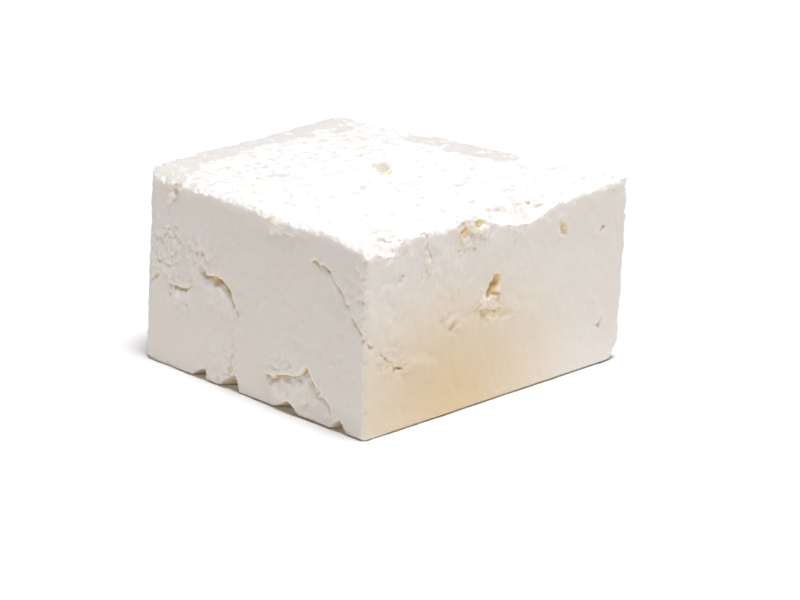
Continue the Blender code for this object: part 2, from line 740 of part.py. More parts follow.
def edge_middles(grid):
    grid.edges.ensure_lookup_table()
    return np.array([edge.verts[0].co + edge.verts[1].co for edge in grid.edges]) / 2


def subdivide_chosen(grid, chosen):
    grid.edges.ensure_lookup_table()
    edges = [grid.edges[index] for index in np.flatnonzero(chosen)]
    bmesh.ops.subdivide_edges(grid, edges=edges, cuts=1, use_grid_fill=True)


def refine_grid(grid):
    """Makes the grid finer along the edges of the top, in the notches and at the cuts."""
    middles = edge_middles(grid)
    finer = (edge_distance(shares_of(middles)) < EDGE_BAND) & (middles[:, 2] > HEIGHT / 2)
    for notch in foot_notches():
        distance, depth = notch_shape(notch, middles)[1:]
        finer |= (depth > 0) & (distance < 0.004)
    for cut in all_cuts():
        close = points_near(cut.route, middles, 2 * cut.width + CUT_BAND)
        around = middles[close]
        distance = nearest_on_route(cut.route, around, np.zeros_like(around))[0]
        finer[close] |= distance < min(cut.width, 0.002) + CUT_BAND
    subdivide_chosen(grid, finer)


def place_vertices(grid, points):
    for vert, point in zip(grid.verts, points.tolist()):
        vert.co = point
    grid.normal_update()


def carved_block():
    """The block's mesh on the fine grid, with all its relief, standing on z = 0."""
    grid = block_grid()
    shares = np.array([vert.co for vert in grid.verts]) + 0.5
    place_vertices(grid, rounded_points(shares))
    refine_grid(grid)
    bmesh.ops.recalc_face_normals(grid, faces=grid.faces)
    points = notched_points(sagged_points(np.array([vert.co for vert in grid.verts])))
    place_vertices(grid, scooped_points(points))
    points = np.array([vert.co for vert in grid.verts])
    normals = np.array([vert.normal for vert in grid.verts])
    moved = points + normals * relief(points, normals)[:, None]
    moved[:, 2] = np.maximum(moved[:, 2], 0.0)
    place_vertices(grid, moved)
    bmesh.ops.triangulate(grid, faces=grid.faces)
    mesh = bpy.data.meshes.new("carved_block")
    grid.to_mesh(mesh)
    grid.free()
    return mesh


def thinned(mesh):
    """The same shape in far fewer triangles, which stay small only where it bends."""
    carrier = bpy.data.objects.new("carrier", mesh)
    bpy.context.collection.objects.link(carrier)
    decimate = carrier.modifiers.new("thin_out", "DECIMATE")
    decimate.ratio = TRIANGLES / len(mesh.polygons)
    bpy.context.view_layer.update()
    evaluated = carrier.evaluated_get(bpy.context.evaluated_depsgraph_get())
    thin = bpy.data.meshes.new_from_object(evaluated)
    bpy.data.objects.remove(carrier)
    bpy.data.meshes.remove(mesh)
    return thin


def stand_on_origin(mesh):
    """Flattens the foot, and puts the origin in the middle of the bounding box's underside."""
    points = np.array([vert.co for vert in mesh.vertices])
    points[points[:, 2] < FOOT_FLATNESS, 2] = 0.0
    plan = points[:, :2]
    plan -= (plan.min(axis=0) + plan.max(axis=0)) / 2
    for vert, point in zip(mesh.vertices, points):
        vert.co = point


def feta_material():
    material = bpy.data.materials.new("feta")
    material.use_nodes = True
    shader = material.node_tree.nodes["Principled BSDF"]
    shader.inputs["Base Color"].default_value = FETA_COLOUR
    shader.inputs["Roughness"].default_value = FETA_ROUGHNESS
    shader.inputs["Metallic"].default_value = 0.0
    return material


def main():
    for obj in list(bpy.data.objects):
        bpy.data.objects.remove(obj)
    collection = bpy.data.collections.new("feta_cheese")
    bpy.context.scene.collection.children.link(collection)
    mesh = thinned(carved_block())
    stand_on_origin(mesh)
    mesh.materials.append(feta_material())
    mesh.shade_smooth()
    mesh.set_sharp_from_angle(angle=math.radians(50))
    collection.objects.link(bpy.data.objects.new("feta_block", mesh))


main()
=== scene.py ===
import math
import random
from collections import namedtuple

import bmesh
import bpy
import numpy as np
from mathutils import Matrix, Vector, noise


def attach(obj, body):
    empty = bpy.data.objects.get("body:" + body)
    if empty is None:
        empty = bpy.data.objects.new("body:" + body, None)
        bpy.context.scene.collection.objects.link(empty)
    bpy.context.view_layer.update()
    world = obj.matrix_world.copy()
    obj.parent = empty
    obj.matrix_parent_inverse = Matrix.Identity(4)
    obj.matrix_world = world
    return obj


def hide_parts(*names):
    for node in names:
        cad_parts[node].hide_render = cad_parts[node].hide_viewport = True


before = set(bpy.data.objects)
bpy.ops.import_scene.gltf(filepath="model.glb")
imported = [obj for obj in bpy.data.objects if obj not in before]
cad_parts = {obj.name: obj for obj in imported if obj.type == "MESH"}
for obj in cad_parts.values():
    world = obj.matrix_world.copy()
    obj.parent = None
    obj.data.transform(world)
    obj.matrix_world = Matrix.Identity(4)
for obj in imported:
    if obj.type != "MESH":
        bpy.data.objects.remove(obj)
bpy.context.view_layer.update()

# A hand-cut block of feta from a tin, standing on a white studio floor. All sizes are in metres.

# Driving dimensions of the block, measured from its front left foot corner
FRONT_WIDTH = 0.1280
BACK_WIDTH = 0.1102
LEFT_DEPTH = 0.1230
RIGHT_DEPTH = 0.1382
HEIGHT = 0.0708
BACK_LEFT_RISE = 0.0020

# Plan of the foot, and how far each top corner leans from the foot corner below it
FRONT_LEFT = np.array([0.0, 0.0])
FRONT_RIGHT = np.array([FRONT_WIDTH, -0.0014])
BACK_LEFT = np.array([-0.0025, LEFT_DEPTH])
BACK_RIGHT = np.array([0.1070, 0.1352])
LEAN_FRONT_LEFT = np.array([0.0012, -0.0011])
LEAN_FRONT_RIGHT = np.array([0.0012, -0.0019])
LEAN_BACK_LEFT = np.array([0.0064, 0.0015])
LEAN_BACK_RIGHT = np.array([-0.0009, -0.0011])

# Rounding of the edges, and of the four upright corners as seen from above
EDGE_RADIUS = 0.0013
FOOT_EDGE_RADIUS = 0.0018
FOOT_EDGE_REACH = 0.0050
CORNER_RADII = {(0, 0): 0.0020, (1, 0): 0.0022, (0, 1): 0.0088, (1, 1): 0.0120}

# Grid that the relief is carved on: its step, how far from cuts, edges and notches and from
# what crumbliness on it is made finer, and how many triangles are kept in the end. Of a cut's
# width, no more than WIDE_CUT counts.
GRID_STEP = 0.0009
CUT_BAND, WIDE_CUT = 0.0016, 0.0020
EDGE_BAND = 0.0042
NOTCH_BAND = 0.0040
FINE_CRUMBLINESS = 0.3
TRIANGLES = 190000

# How far a normal points up, or out to the front, where each look begins and where it is full:
# that of the top, of its dried skin and painted shade, and of the front face. Relief begins at
# BASE_END, just off the flat underside, and is full at FREE_FROM.
TOP_FROM, TOP_TO = 0.3, 0.8
SKIN_FROM, SKIN_TO = 0.1, 0.6
FRONT_FROM, FRONT_TO = 0.5, 0.9
BASE_END, FREE_FROM = -0.8, -0.3

# Each noise has a seed of its own, and this is how far apart two seeds lie in it
SEED_STEP = np.array([17.3, -9.1, 4.7])

# Waves and lumps of the faces, and crumbling of the edges. By their spread, crumbs and tears
# cover a little more than half of an edge. Above a share of the height crumbs grow deeper.
WAVE_SIZE, WAVE_HEIGHT = 0.040, 0.0006
LUMP_SIZE, LUMP_HEIGHT = 0.011, 0.00035
CRUMB_SIZE, CRUMB_DEPTH, CRUMB_REACH = 0.0040, 0.0012, 0.0034
CRUMB_SPREAD, TEAR_SPREAD = 0.1, 0.1
CRUMBS_FROM = 0.8
RAGGED_SIZE, RAGGED_SHIFT = 0.0035, 0.0009
BREAK_SIZE, BREAK_HEIGHT = 0.0040, 0.0012
BREAK_GRAIN_SIZE, BREAK_GRAIN_HEIGHT = 0.0016, 0.0007
FALL_WANDER_SIZE, FALL_WANDER = 0.0035, 0.0011
TEAR_SIZE, TEAR_DEPTH, TEAR_REACH = 0.0023, 0.0016, 0.0035
SHRED_SIZE, SHRED_SHARE = 0.0011, 0.6
FALL_STEEPNESS = 12

# How unevenly the cracks open, the narrow ones most
FLUTTER_SIZE, FRAYED_WIDTH = 0.0024, 0.0007
FRAY_LOSS, FRAY_SWING = 0.25, 1.3
LEAST_FRAY, MOST_FRAY = 0.05, 1.2

# How far round a cut its points are looked for, in its widths or lips. Then the share of its
# width that a slit keeps where it closes, how soon its lip gains the full drop as it opens, and
# how high and how far the other side overhangs, as shares of the drop and the lip.
CUT_REACH = 1.5
CLOSED_WIDTH = 0.35
DROP_GAIN = 1.5
OVERHANG, OVERHANG_REACH = 0.35, 0.6

# How far in under the block the curd gives way at a notch, how much of the moist inside's colour
# and painted warm shade it gets there, the shares of a notch's length where it is at its full
# height and where its steep end begins, and the least height to divide by
NOTCH_GIVE = 0.022
NOTCH_CREVICE = 0.6
NOTCH_FULL, NOTCH_END = 0.72, 0.80
NOTCH_LEAST = 1e-6

# Relief that only shows close up
CURD_SIZE, CURD_HEIGHT = 0.0030, 0.00030
GRAIN_SIZE, GRAIN_HEIGHT = 0.0013, 0.00015
RIM_SIZE, RIM_HEIGHT, RIM_REACH = 0.0016, 0.00040, 0.0042
SPLINTER_SIZE, SPLINTER_SHIFT = 0.0013, 0.00055
TOOTH_SIZE, TOOTH_DEPTH, TOOTH_REACH = 0.0015, 0.0014, 0.0022
DENT_SIZE, DENT_DEPTH, DENT_SHARE = 0.0015, 0.0006, 0.25
TOP_ROUGHNESS = 1.8
CRUMBLY_ROUGHNESS = 1.2
UPRIGHT_CRUMBS = 0.3
FOOT_CRUMBS, FOOT_CRUMB_REACH = 0.5, 0.0060

# The most that crumbs and teeth take off an edge together, and how often normals are evened out
EDGE_LOSS = 0.0012
CALM_ROUNDS = 3

# Knife nicks: how many, where on the front face, how large, and how far they lean
NICK_COUNT, NICK_SEED = 34, 4
NICK_X, NICK_Z = (0.006, 0.078), (0.040, 0.066)
NICK_LENGTH, NICK_WIDTH = (0.0012, 0.0040), (0.00045, 0.0007)
NICK_DEPTH = (0.0002, 0.0004)
NICK_LEAN = 0.1

# How strong a patch of dried skin and painted shade is, and the share of its radius out to which
# a patch of each kind is full
DRIED_AND_SHADED = 0.95
CRUMBLY_CORE, DRIED_AND_SHADED_CORE, MOIST_AND_SHADED_CORE = 0.35, 0.5, 0.4

# Where the top is painted a duller white, for dried skin and for painted shade where it slopes
# away from the light: a little at the front, more at the back, and most in a band at the back
# edge and around its left end
DULL_FRONT, DULL_GAIN, DULL_START = 0.42, 0.18, 0.3
DULL_BAND = 0.0110
DULL_CORNER = 0.0200
DULL_FADE = 0.0080
DULL_WANDER_SIZE, DULL_WANDER = 0.0120, 0.0080

# Depth at which a crack is painted the full colour of the moist inside and warm shade, yellower
# the deeper it lies, how much deeper a pit of the top begins to get it, and how much less of it
# such a pit gets
CREVICE_DEPTH = 0.0013
TOP_TINT_DEPTH = 0.0016
TOP_PALENESS = 0.35

# Where the knife dragged over the front face: the band's middle, how far to each side it is
# full and where it ends, and the heights at which it begins and is full
DRAG_MIDDLE, DRAG_FULL, DRAG_END = 0.048, 0.034, 0.056
DRAG_LOW, DRAG_HIGH = 0.034, 0.050

# Where whey has soaked the front face, with painted warm bounce light and shade low on it: its
# middle and its reach, across and up
WHEY_BOUNCE_X, WHEY_BOUNCE_REACH = 0.040, 0.074
WHEY_BOUNCE_Z, WHEY_BOUNCE_RISE = 0.008, 0.056

# Colours of the curd and of the floor
CURD_WHITE, CURD_CREAM = "#F8F3EC", "#F5EEE7"
# Cream of whey, also standing in for painted warm bounce light and shade low on the front face
WHEY_CREAM_AND_BOUNCE = "#EBD9B5"
# Dull white of dried skin, also used as painted shade on the top's back edge and beside its flakes
DRIED_SKIN_AND_SHADE = "#E2DCD3"
# Yellow of the moist inside, also painted in as warm shade deep in cracks, pits and notches
MOIST_INSIDE_AND_SHADE = "#F0DBA6"
PAPER_WHITE = "#F1EEE9"

# How far light spreads inside the curd
LIGHT_SPREAD = 0.0016

# Sizes of the patterns in the curd's colour and bumps. The knife's streaks are about 1.1 mm
# wide and 4.5 mm long, and lean.
MOTTLE_SIZE = 0.012
SPECK_SIZE = 0.004
SKIN_GRAIN_SIZE, SKIN_GRAIN_BUMP = 0.0009, 0.0003
STREAK_WIDTH, STREAK_LENGTH, STREAK_BUMP = 1 / 900, 1 / 220, 0.0005
STREAK_LEAN = math.radians(9)

# How much the dried skin and painted shade add to the specks' noise, and the sums at which the
# dull skin and shade start and are full
DRYNESS_AND_SHADE_SHARE = 0.40
DULL_FROM, DULL_TO = 0.76, 0.84

# A cut is a slit that follows its route. Each route point ends in its openness, from 0 to 1,
# which scales the slit there. Width is half the slit's. On the right hand of the route, as
# seen from outside, the surface rolls into the slit over the lip's width, by its drop.
# A cut of negative depth is a raised lump. A torn cut has a ragged of 1, a straight one of 0.
Cut = namedtuple("Cut", "route width depth lip drop ragged", defaults=(0.0, 0.0, 1.0))

# A scoop is what a ball takes out of the block where it sinks in to its depth at a place,
# with the ball's middle outside, in the direction that it faces.
Scoop = namedtuple("Scoop", "place facing radius depth")

# A notch under the foot runs from its shallow end to its steep end. Height and depth are the
# most that it reaches, close to its steep end.
Notch = namedtuple("Notch", "start end height depth")

# A patch of crumbled curd, of dried skin with painted shade, or of moist inside with painted
# warm shade: its middle, its radius and how much it is so, from 0 to 1
Patch = namedtuple("Patch", "middle radius strength")

# Directions in which the broken corner and edges face
RIGHT_TOP = (0.7, 0.0, 0.7)
RIGHT_CORNER_FOOT = (0.7, -0.5, -0.5)
BACK_TOP = (0.0, 0.7, 0.7)


def block_point(across, along, up):
    """The point of the flat-faced block at these shares of its width, depth and height."""
    across, along, up = (np.asarray(share, float)[..., None] for share in (across, along, up))
    plan = (
        (FRONT_LEFT + LEAN_FRONT_LEFT * up) * (1 - across) * (1 - along)
        + (FRONT_RIGHT + LEAN_FRONT_RIGHT * up) * across * (1 - along)
        + (BACK_LEFT + LEAN_BACK_LEFT * up) * (1 - across) * along
        + (BACK_RIGHT + LEAN_BACK_RIGHT * up) * across * along
    )
    return np.concatenate([plan, (HEIGHT + BACK_LEFT_RISE * (1 - across) * along) * up], axis=-1)


def left(y, z, opening=1.0):
    """A route point on the left face, y back from the front left corner and z up."""
    up = z / (HEIGHT + BACK_LEFT_RISE * y / LEFT_DEPTH)
    forward = LEAN_FRONT_LEFT[1] * up
    depth = BACK_LEFT[1] + LEAN_BACK_LEFT[1] * up - forward
    return (*block_point(0.0, (y - forward) / depth, up), opening)


def front(x, z, opening=1.0):
    """A route point on the front face, x from the front left corner and z up."""
    up = z / HEIGHT
    return (*block_point((x - LEAN_FRONT_LEFT[0] * up) / FRONT_WIDTH, 0.0, up), opening)


def right(s, z, opening=1.0):
    """A route point on the right face, s from its front corner and z up."""
    return (*block_point(1.0, s / RIGHT_DEPTH, z / HEIGHT), opening)


def back(s, z, opening=1.0):
    """A route point on the back face, s from its left corner and z up."""
    return (*block_point(s / BACK_WIDTH, 1.0, z / HEIGHT), opening)


def top(x, y, opening=1.0):
    """A route point on the top face, x from the left and y from the front."""
    return (x, y, HEIGHT, opening)


def route_on(face, *places):
    """A route on one face, through these places."""
    return [face(*place) for place in places]


def left_face_cracks():
    """Curd cracks of the left face, from the back edge to the front corner."""
    side_crack = route_on(left, (0.1185, 0.0305, 0.7), (0.1165, 0.0318, 0.9), (0.1140, 0.0338, 0.6))
    short_crack = route_on(
        left,
        (0.1075, 0.0325, 0.4), (0.1050, 0.0314, 1.0), (0.1015, 0.0312, 0.9), (0.0975, 0.0322, 0.6),
        (0.0940, 0.0335, 0.2),
    )
    arch = route_on(
        left,
        (0.0890, 0.0420, 0.4), (0.0868, 0.0395, 0.6), (0.0835, 0.0392, 0.8), (0.0795, 0.0392, 0.9),
        (0.0755, 0.0387, 1.0), (0.0725, 0.0365, 0.8), (0.0705, 0.0335, 0.5), (0.0690, 0.0312, 0.2),
        (0.0675, 0.0292, 0.2),
    )
    seam = route_on(
        left,
        (0.0700, 0.0240, 0.2), (0.0700, 0.0182, 0.3), (0.0708, 0.0120, 0.6), (0.0715, 0.0060, 1.0),
    )
    long_crack = route_on(
        left,
        (0.0272, 0.0592, 0.5), (0.0236, 0.0588, 0.8), (0.0186, 0.0570, 1.0), (0.0159, 0.0550, 0.4),
        (0.0132, 0.0525, 0.8), (0.0100, 0.0500, 0.8), (0.0085, 0.0470, 0.3), (0.0060, 0.0440, 0.5),
        (0.0025, 0.0402, 0.5),
    ) + route_on(front, (0.0004, 0.0392, 0.7), (0.0018, 0.0390, 0.3))
    ledge = route_on(
        left,
        (0.0515, 0.0116, 0.3), (0.0474, 0.0108, 1.0), (0.0443, 0.0129, 0.5), (0.0407, 0.0137, 0.6),
        (0.0354, 0.0150, 0.3), (0.0322, 0.0172, 0.7), (0.0300, 0.0192, 1.0), (0.0280, 0.0167, 0.7),
        (0.0256, 0.0143, 0.8), (0.0229, 0.0124, 0.8), (0.0190, 0.0095, 0.4), (0.0170, 0.0060, 0.4),
    )
    hook = route_on(left, (0.1085, 0.0522, 0.5), (0.1050, 0.0512, 0.9), (0.1020, 0.0482, 0.9))
    top_slot = route_on(
        left,
        (0.1058, 0.0700, 1.0), (0.1060, 0.0665, 1.0), (0.1052, 0.0642, 0.7), (0.1078, 0.0622, 0.3),
    )
    return [
        Cut(side_crack, 0.0014, 0.0009, 0.0036, 0.0005),
        Cut(short_crack, 0.0010, 0.0014, 0.0042, 0.0009),
        Cut(arch, 0.0015, 0.0031, 0.0062, 0.0013),
        Cut([left(0.1020, 0.0280), left(0.0960, 0.0290)], 0.0040, -0.0007),
        Cut([left(0.0850, 0.0350), left(0.0750, 0.0315)], 0.0048, -0.0008),
        Cut(seam, 0.0015, 0.0006, 0.0036, 0.0008),
        Cut(long_crack, 0.0009, 0.0012, 0.0032, 0.0006),
        Cut(ledge, 0.0010, 0.0017, 0.0060, 0.0013, 0.6),
        Cut([left(0.0460, 0.0070), left(0.0350, 0.0085)], 0.0055, -0.0007),
        Cut(hook, 0.0012, 0.0003),
        Cut(top_slot, 0.0014, 0.0011),
        Cut([left(0.1080, 0.0645), left(0.1088, 0.0628)], 0.0018, -0.0007),
        Cut([left(0.0520, 0.0676, 0.6), left(0.0465, 0.0694)], 0.0020, 0.0007),
        Cut([left(0.0500, 0.0668), left(0.0430, 0.0686), left(0.0380, 0.0684)], 0.0030, -0.0009),
    ]


def left_face_pits():
    """Small pits of the left face, most of them above the cracks at its back."""
    places = [
        (0.0968, 0.0485, 0.8), (0.0923, 0.0467, 1.0), (0.0894, 0.0472, 0.8), (0.1135, 0.0392, 1.0),
        (0.1080, 0.0382, 1.0), (0.1060, 0.0384, 0.6), (0.1183, 0.0350, 1.0), (0.1063, 0.0276, 1.0),
        (0.0705, 0.0195, 0.7), (0.0290, 0.0060, 0.8),
    ]
    return [Cut([left(*place)], 0.0012, 0.0006) for place in places]


def front_face_cracks():
    """The corner crack, curd holes and knife groove of the front face."""
    corner_crack = route_on(left, (0.0012, 0.0368, 0.6)) + route_on(
        front,
        (0.0010, 0.0358, 0.9), (0.0029, 0.0346, 0.9), (0.0050, 0.0332, 0.2), (0.0071, 0.0317, 0.8),
        (0.0088, 0.0300, 0.2), (0.0100, 0.0288, 0.9), (0.0130, 0.0265, 0.6), (0.0162, 0.0238, 1.0),
        (0.0190, 0.0246, 0.7),
    )
    curd_hole = route_on(
        front,
        (0.0586, 0.0406, 0.5), (0.0600, 0.0427, 1.0), (0.0616, 0.0448, 1.0), (0.0624, 0.0468, 0.6),
    )
    hole_leg = route_on(front, (0.0634, 0.0372, 0.4), (0.0628, 0.0398, 0.9), (0.0608, 0.0415, 0.8))
    upper_hole = route_on(front, (0.0956, 0.0562, 0.7), (0.0948, 0.0585, 1.0), (0.0938, 0.0608, 0.6))
    furrow = route_on(
        front,
        (0.0500, 0.0364, 0.4), (0.0545, 0.0345, 1.0), (0.0579, 0.0340, 0.7), (0.0620, 0.0332, 0.9),
        (0.0665, 0.0324, 0.7), (0.0710, 0.0316, 0.2),
    )
    groove_line = route_on(
        front,
        (0.0306, 0.0604, 0.7), (0.0298, 0.0627, 1.0), (0.0288, 0.0650, 0.9), (0.0286, 0.0694, 0.4),
    )
    groove_step = route_on(
        front,
        (0.0306, 0.0604, 0.66), (0.0298, 0.0627, 0.5), (0.0288, 0.0650, 0.3), (0.0287, 0.0676, 0.1),
    )
    slant_pit = route_on(front, (0.0146, 0.0559, 0.3), (0.0163, 0.0562, 0.9), (0.0173, 0.0577, 0.5))
    low_pit = route_on(front, (0.0395, 0.0329, 0.7), (0.0417, 0.0337, 0.9), (0.0440, 0.0343, 0.3))
    side_line = route_on(front, (0.1134, 0.0300, 0.6), (0.1149, 0.0200, 1.0), (0.1154, 0.0116, 0.7))
    return [
        Cut(corner_crack, 0.0008, 0.0011, 0.0022, 0.0004),
        Cut(curd_hole, 0.0025, 0.0024, 0.0042, 0.0008),
        Cut([front(0.0619, 0.0487, 0.8)], 0.0011, 0.0007),
        Cut(hole_leg, 0.0013, 0.0016),
        Cut(upper_hole, 0.0020, 0.0012, 0.0030, 0.0005),
        Cut([front(0.0950, 0.0558, 0.6), front(0.0922, 0.0528, 0.4)], 0.0009, 0.0009),
        Cut(groove_line, 0.0007, 0.0009, ragged=0.3),
        Cut(groove_step, 0.0007, 0.0, 0.0080, 0.0009, 0.3),
        Cut([front(0.0290, 0.0595), front(0.0296, 0.0572)], 0.0016, -0.0006),
        Cut(side_line, 0.0022, -0.0003, ragged=0.3),
        Cut(slant_pit, 0.0013, 0.0008),
        Cut(low_pit, 0.0018, 0.0006),
        Cut([front(0.0355, 0.0365, 0.8), front(0.0370, 0.0360, 0.5)], 0.0018, 0.0004),
        Cut(furrow, 0.0026, 0.0006),
        Cut([front(0.1147, 0.0529), front(0.1163, 0.0538, 0.6)], 0.0014, 0.0010),
        Cut([front(0.1147, 0.0522, 0.5), front(0.1145, 0.0508, 0.3)], 0.0009, 0.0006),
        Cut([front(0.1161, 0.0157), front(0.1166, 0.0175, 0.6)], 0.0014, 0.0012),
        Cut([front(0.0566, 0.0388)], 0.0026, -0.0009),
        Cut([front(0.0210, 0.0240), front(0.0300, 0.0205)], 0.0050, -0.0005),
    ]


def knife_nicks():
    """Short upright nicks where the knife dragged over the front face."""
    chance = random.Random(NICK_SEED)
    nicks = []
    for _ in range(NICK_COUNT):
        x, z = chance.uniform(*NICK_X), chance.uniform(*NICK_Z)
        length, width = chance.uniform(*NICK_LENGTH), chance.uniform(*NICK_WIDTH)
        ends = [front(x, z), front(x + NICK_LEAN * length, z + length, 0.5)]
        nicks.append(Cut(ends, width, chance.uniform(*NICK_DEPTH)))
    return nicks


def top_edge_nest():
    """The ragged nest at the front edge of the top: small holes between lumps of curd."""
    left_hole = route_on(front, (0.0447, 0.0664, 0.7), (0.0466, 0.0668), (0.0482, 0.0664, 0.7))
    arched_crumb = route_on(front, (0.0549, 0.0664), (0.0570, 0.0656), (0.0572, 0.0634))
    return [
        Cut(left_hole, 0.0019, 0.0006),
        Cut([front(0.0522, 0.0686, 0.8), front(0.0541, 0.0682)], 0.0018, 0.0005),
        Cut([front(0.0443, 0.0646, 0.8), front(0.0447, 0.0628)], 0.0010, 0.0005),
        Cut([front(0.0446, 0.0606), front(0.0441, 0.0595, 0.5)], 0.0007, 0.0005),
        Cut([front(0.0507, 0.0632, 0.7), front(0.0510, 0.0598)], 0.0009, 0.0006),
        Cut([front(0.0489, 0.0700)], 0.0015, -0.0005),
        Cut([front(0.0494, 0.0681), front(0.0516, 0.0668)], 0.0016, -0.0007),
        Cut(arched_crumb, 0.0018, -0.0008),
        Cut([front(0.0477, 0.0639), front(0.0469, 0.0620)], 0.0019, -0.0006),
    ]


def top_face_cracks():
    """The open pit with its raised curd, and small pits of the top."""
    return [
        Cut([top(0.0645, 0.0601, 0.8), top(0.0662, 0.0619)], 0.0036, 0.0036),
        Cut([top(0.0684, 0.0663), top(0.0703, 0.0645)], 0.0028, -0.0031),
        Cut([top(0.0700, 0.0599), top(0.0729, 0.0580, 0.5)], 0.0010, 0.0010),
        Cut([top(0.0270, 0.0836, 0.7), top(0.0298, 0.0812)], 0.0022, 0.0022),
    ]


def top_flakes():
    """Steps that flakes left where they lifted off the top, all of them facing forward. Their
    route points lie on the worn top, so each has its height too."""
    corner_steps = [
        [(0.0138, 0.0117, 0.0708, 0.5), (0.0152, 0.0101, 0.0708, 1.0), (0.0166, 0.0089, 0.0708, 0.4)],
        [(0.0186, 0.0087, 0.0708, 0.4), (0.0206, 0.0074, 0.0708, 0.8)],
        [(0.0162, 0.0040, 0.0707, 0.5), (0.0172, 0.0020, 0.0706, 0.8), (0.0170, 0.0000, 0.0703, 0.6)],
        [(0.0126, 0.0045, 0.0700, 0.3), (0.0141, 0.0024, 0.0695, 0.4)],
    ]
    dip_steps = [
        [(0.0612, 0.0064, 0.0704, 0.5), (0.0654, 0.0059, 0.0695, 1.0), (0.0692, 0.0060, 0.0690, 0.7)],
        [(0.0699, 0.0058, 0.0689, 0.9), (0.0724, 0.0046, 0.0678, 0.6)],
        [(0.0770, 0.0058, 0.0682, 0.6), (0.0798, 0.0054, 0.0685, 0.7), (0.0842, 0.0040, 0.0686, 0.4)],
        [(0.0752, 0.0036, 0.0668, 0.6), (0.0792, 0.0035, 0.0671, 0.9)],
        [(0.0858, 0.0017, 0.0677, 0.7), (0.0887, 0.0000, 0.0678, 0.7)],
    ]
    return [Cut(step, 0.0008, 0.0003, 0.0032, 0.0010) for step in corner_steps + dip_steps]


def right_face_cracks():
    """Cracks and pits of the right face, like those of the left."""
    branch = route_on(
        right,
        (0.0260, 0.0180, 0.3), (0.0340, 0.0225, 0.9), (0.0420, 0.0240, 1.0), (0.0500, 0.0290, 0.6),
        (0.0560, 0.0375, 0.8), (0.0600, 0.0430, 0.3),
    )
    fall = route_on(
        right,
        (0.0880, 0.0620, 0.4), (0.0940, 0.0575, 1.0), (0.0990, 0.0500, 0.8), (0.1010, 0.0410, 0.5),
        (0.1080, 0.0340, 0.3),
    )
    holes = [(0.0750, 0.0290), (0.0250, 0.0520), (0.1180, 0.0200), (0.0690, 0.0330, 0.6)]
    return [
        Cut(branch, 0.0010, 0.0036, 0.0040, 0.0012),
        Cut(fall, 0.0009, 0.0032, 0.0034, 0.0010),
    ] + [Cut([right(*hole)], 0.0014, 0.0020) for hole in holes]


def back_face_cracks():
    """Cracks and pits of the back face."""
    stair = route_on(
        back,
        (0.0490, 0.0200, 0.3), (0.0430, 0.0255, 0.8), (0.0350, 0.0290, 0.6), (0.0310, 0.0370, 1.0),
        (0.0250, 0.0425, 0.9), (0.0180, 0.0440, 0.4),
    )
    rift = route_on(
        back,
        (0.0900, 0.0470, 0.5), (0.0840, 0.0510, 1.0), (0.0760, 0.0530, 0.8), (0.0700, 0.0580, 0.3),
    )
    holes = [(0.0600, 0.0360), (0.0880, 0.0220), (0.0130, 0.0230), (0.0560, 0.0410, 0.6)]
    return [
        Cut(stair, 0.0011, 0.0038, 0.0042, 0.0013),
        Cut(rift, 0.0009, 0.0030, 0.0030, 0.0009),
    ] + [Cut([back(*hole)], 0.0014, 0.0022) for hole in holes]


def all_cuts():
    """Every cut of the block, with its route made smooth."""
    cuts = (
        left_face_cracks()
        + left_face_pits()
        + front_face_cracks()
        + knife_nicks()
        + top_edge_nest()
        + top_face_cracks()
        + top_flakes()
        + right_face_cracks()
        + back_face_cracks()
    )
    return [cut._replace(route=smooth_route(np.array(cut.route))) for cut in cuts]


def all_scoops():
    """What has crumbled off the corners and edges."""
    return [
        Scoop(front(FRONT_WIDTH, 0.0), RIGHT_CORNER_FOOT, 0.0120, 0.0056),
        Scoop(right(0.0950, HEIGHT), RIGHT_TOP, 0.0090, 0.0036),
        Scoop(back(0.0480, HEIGHT), BACK_TOP, 0.0080, 0.0034),
    ]


def foot_notches():
    """The notches along the foot, those of the left face first."""
    return [
        Notch(left(0.0945, 0.0), left(0.0832, 0.0), 0.0044, 0.0070),
        Notch(left(0.0790, 0.0), left(0.0660, 0.0), 0.0060, 0.0075),
        Notch(left(0.0490, 0.0), left(0.0348, 0.0), 0.0046, 0.0070),
        Notch(left(0.0190, 0.0), left(0.0105, 0.0), 0.0048, 0.0065),
        Notch(right(0.0560, 0.0), right(0.0445, 0.0), 0.0052, 0.0090),
        Notch(right(0.0940, 0.0), right(0.1020, 0.0), 0.0040, 0.0080),
        Notch(back(0.0270, 0.0), back(0.0370, 0.0), 0.0052, 0.0090),
        Notch(back(0.0850, 0.0), back(0.0745, 0.0), 0.0044, 0.0080),
    ]


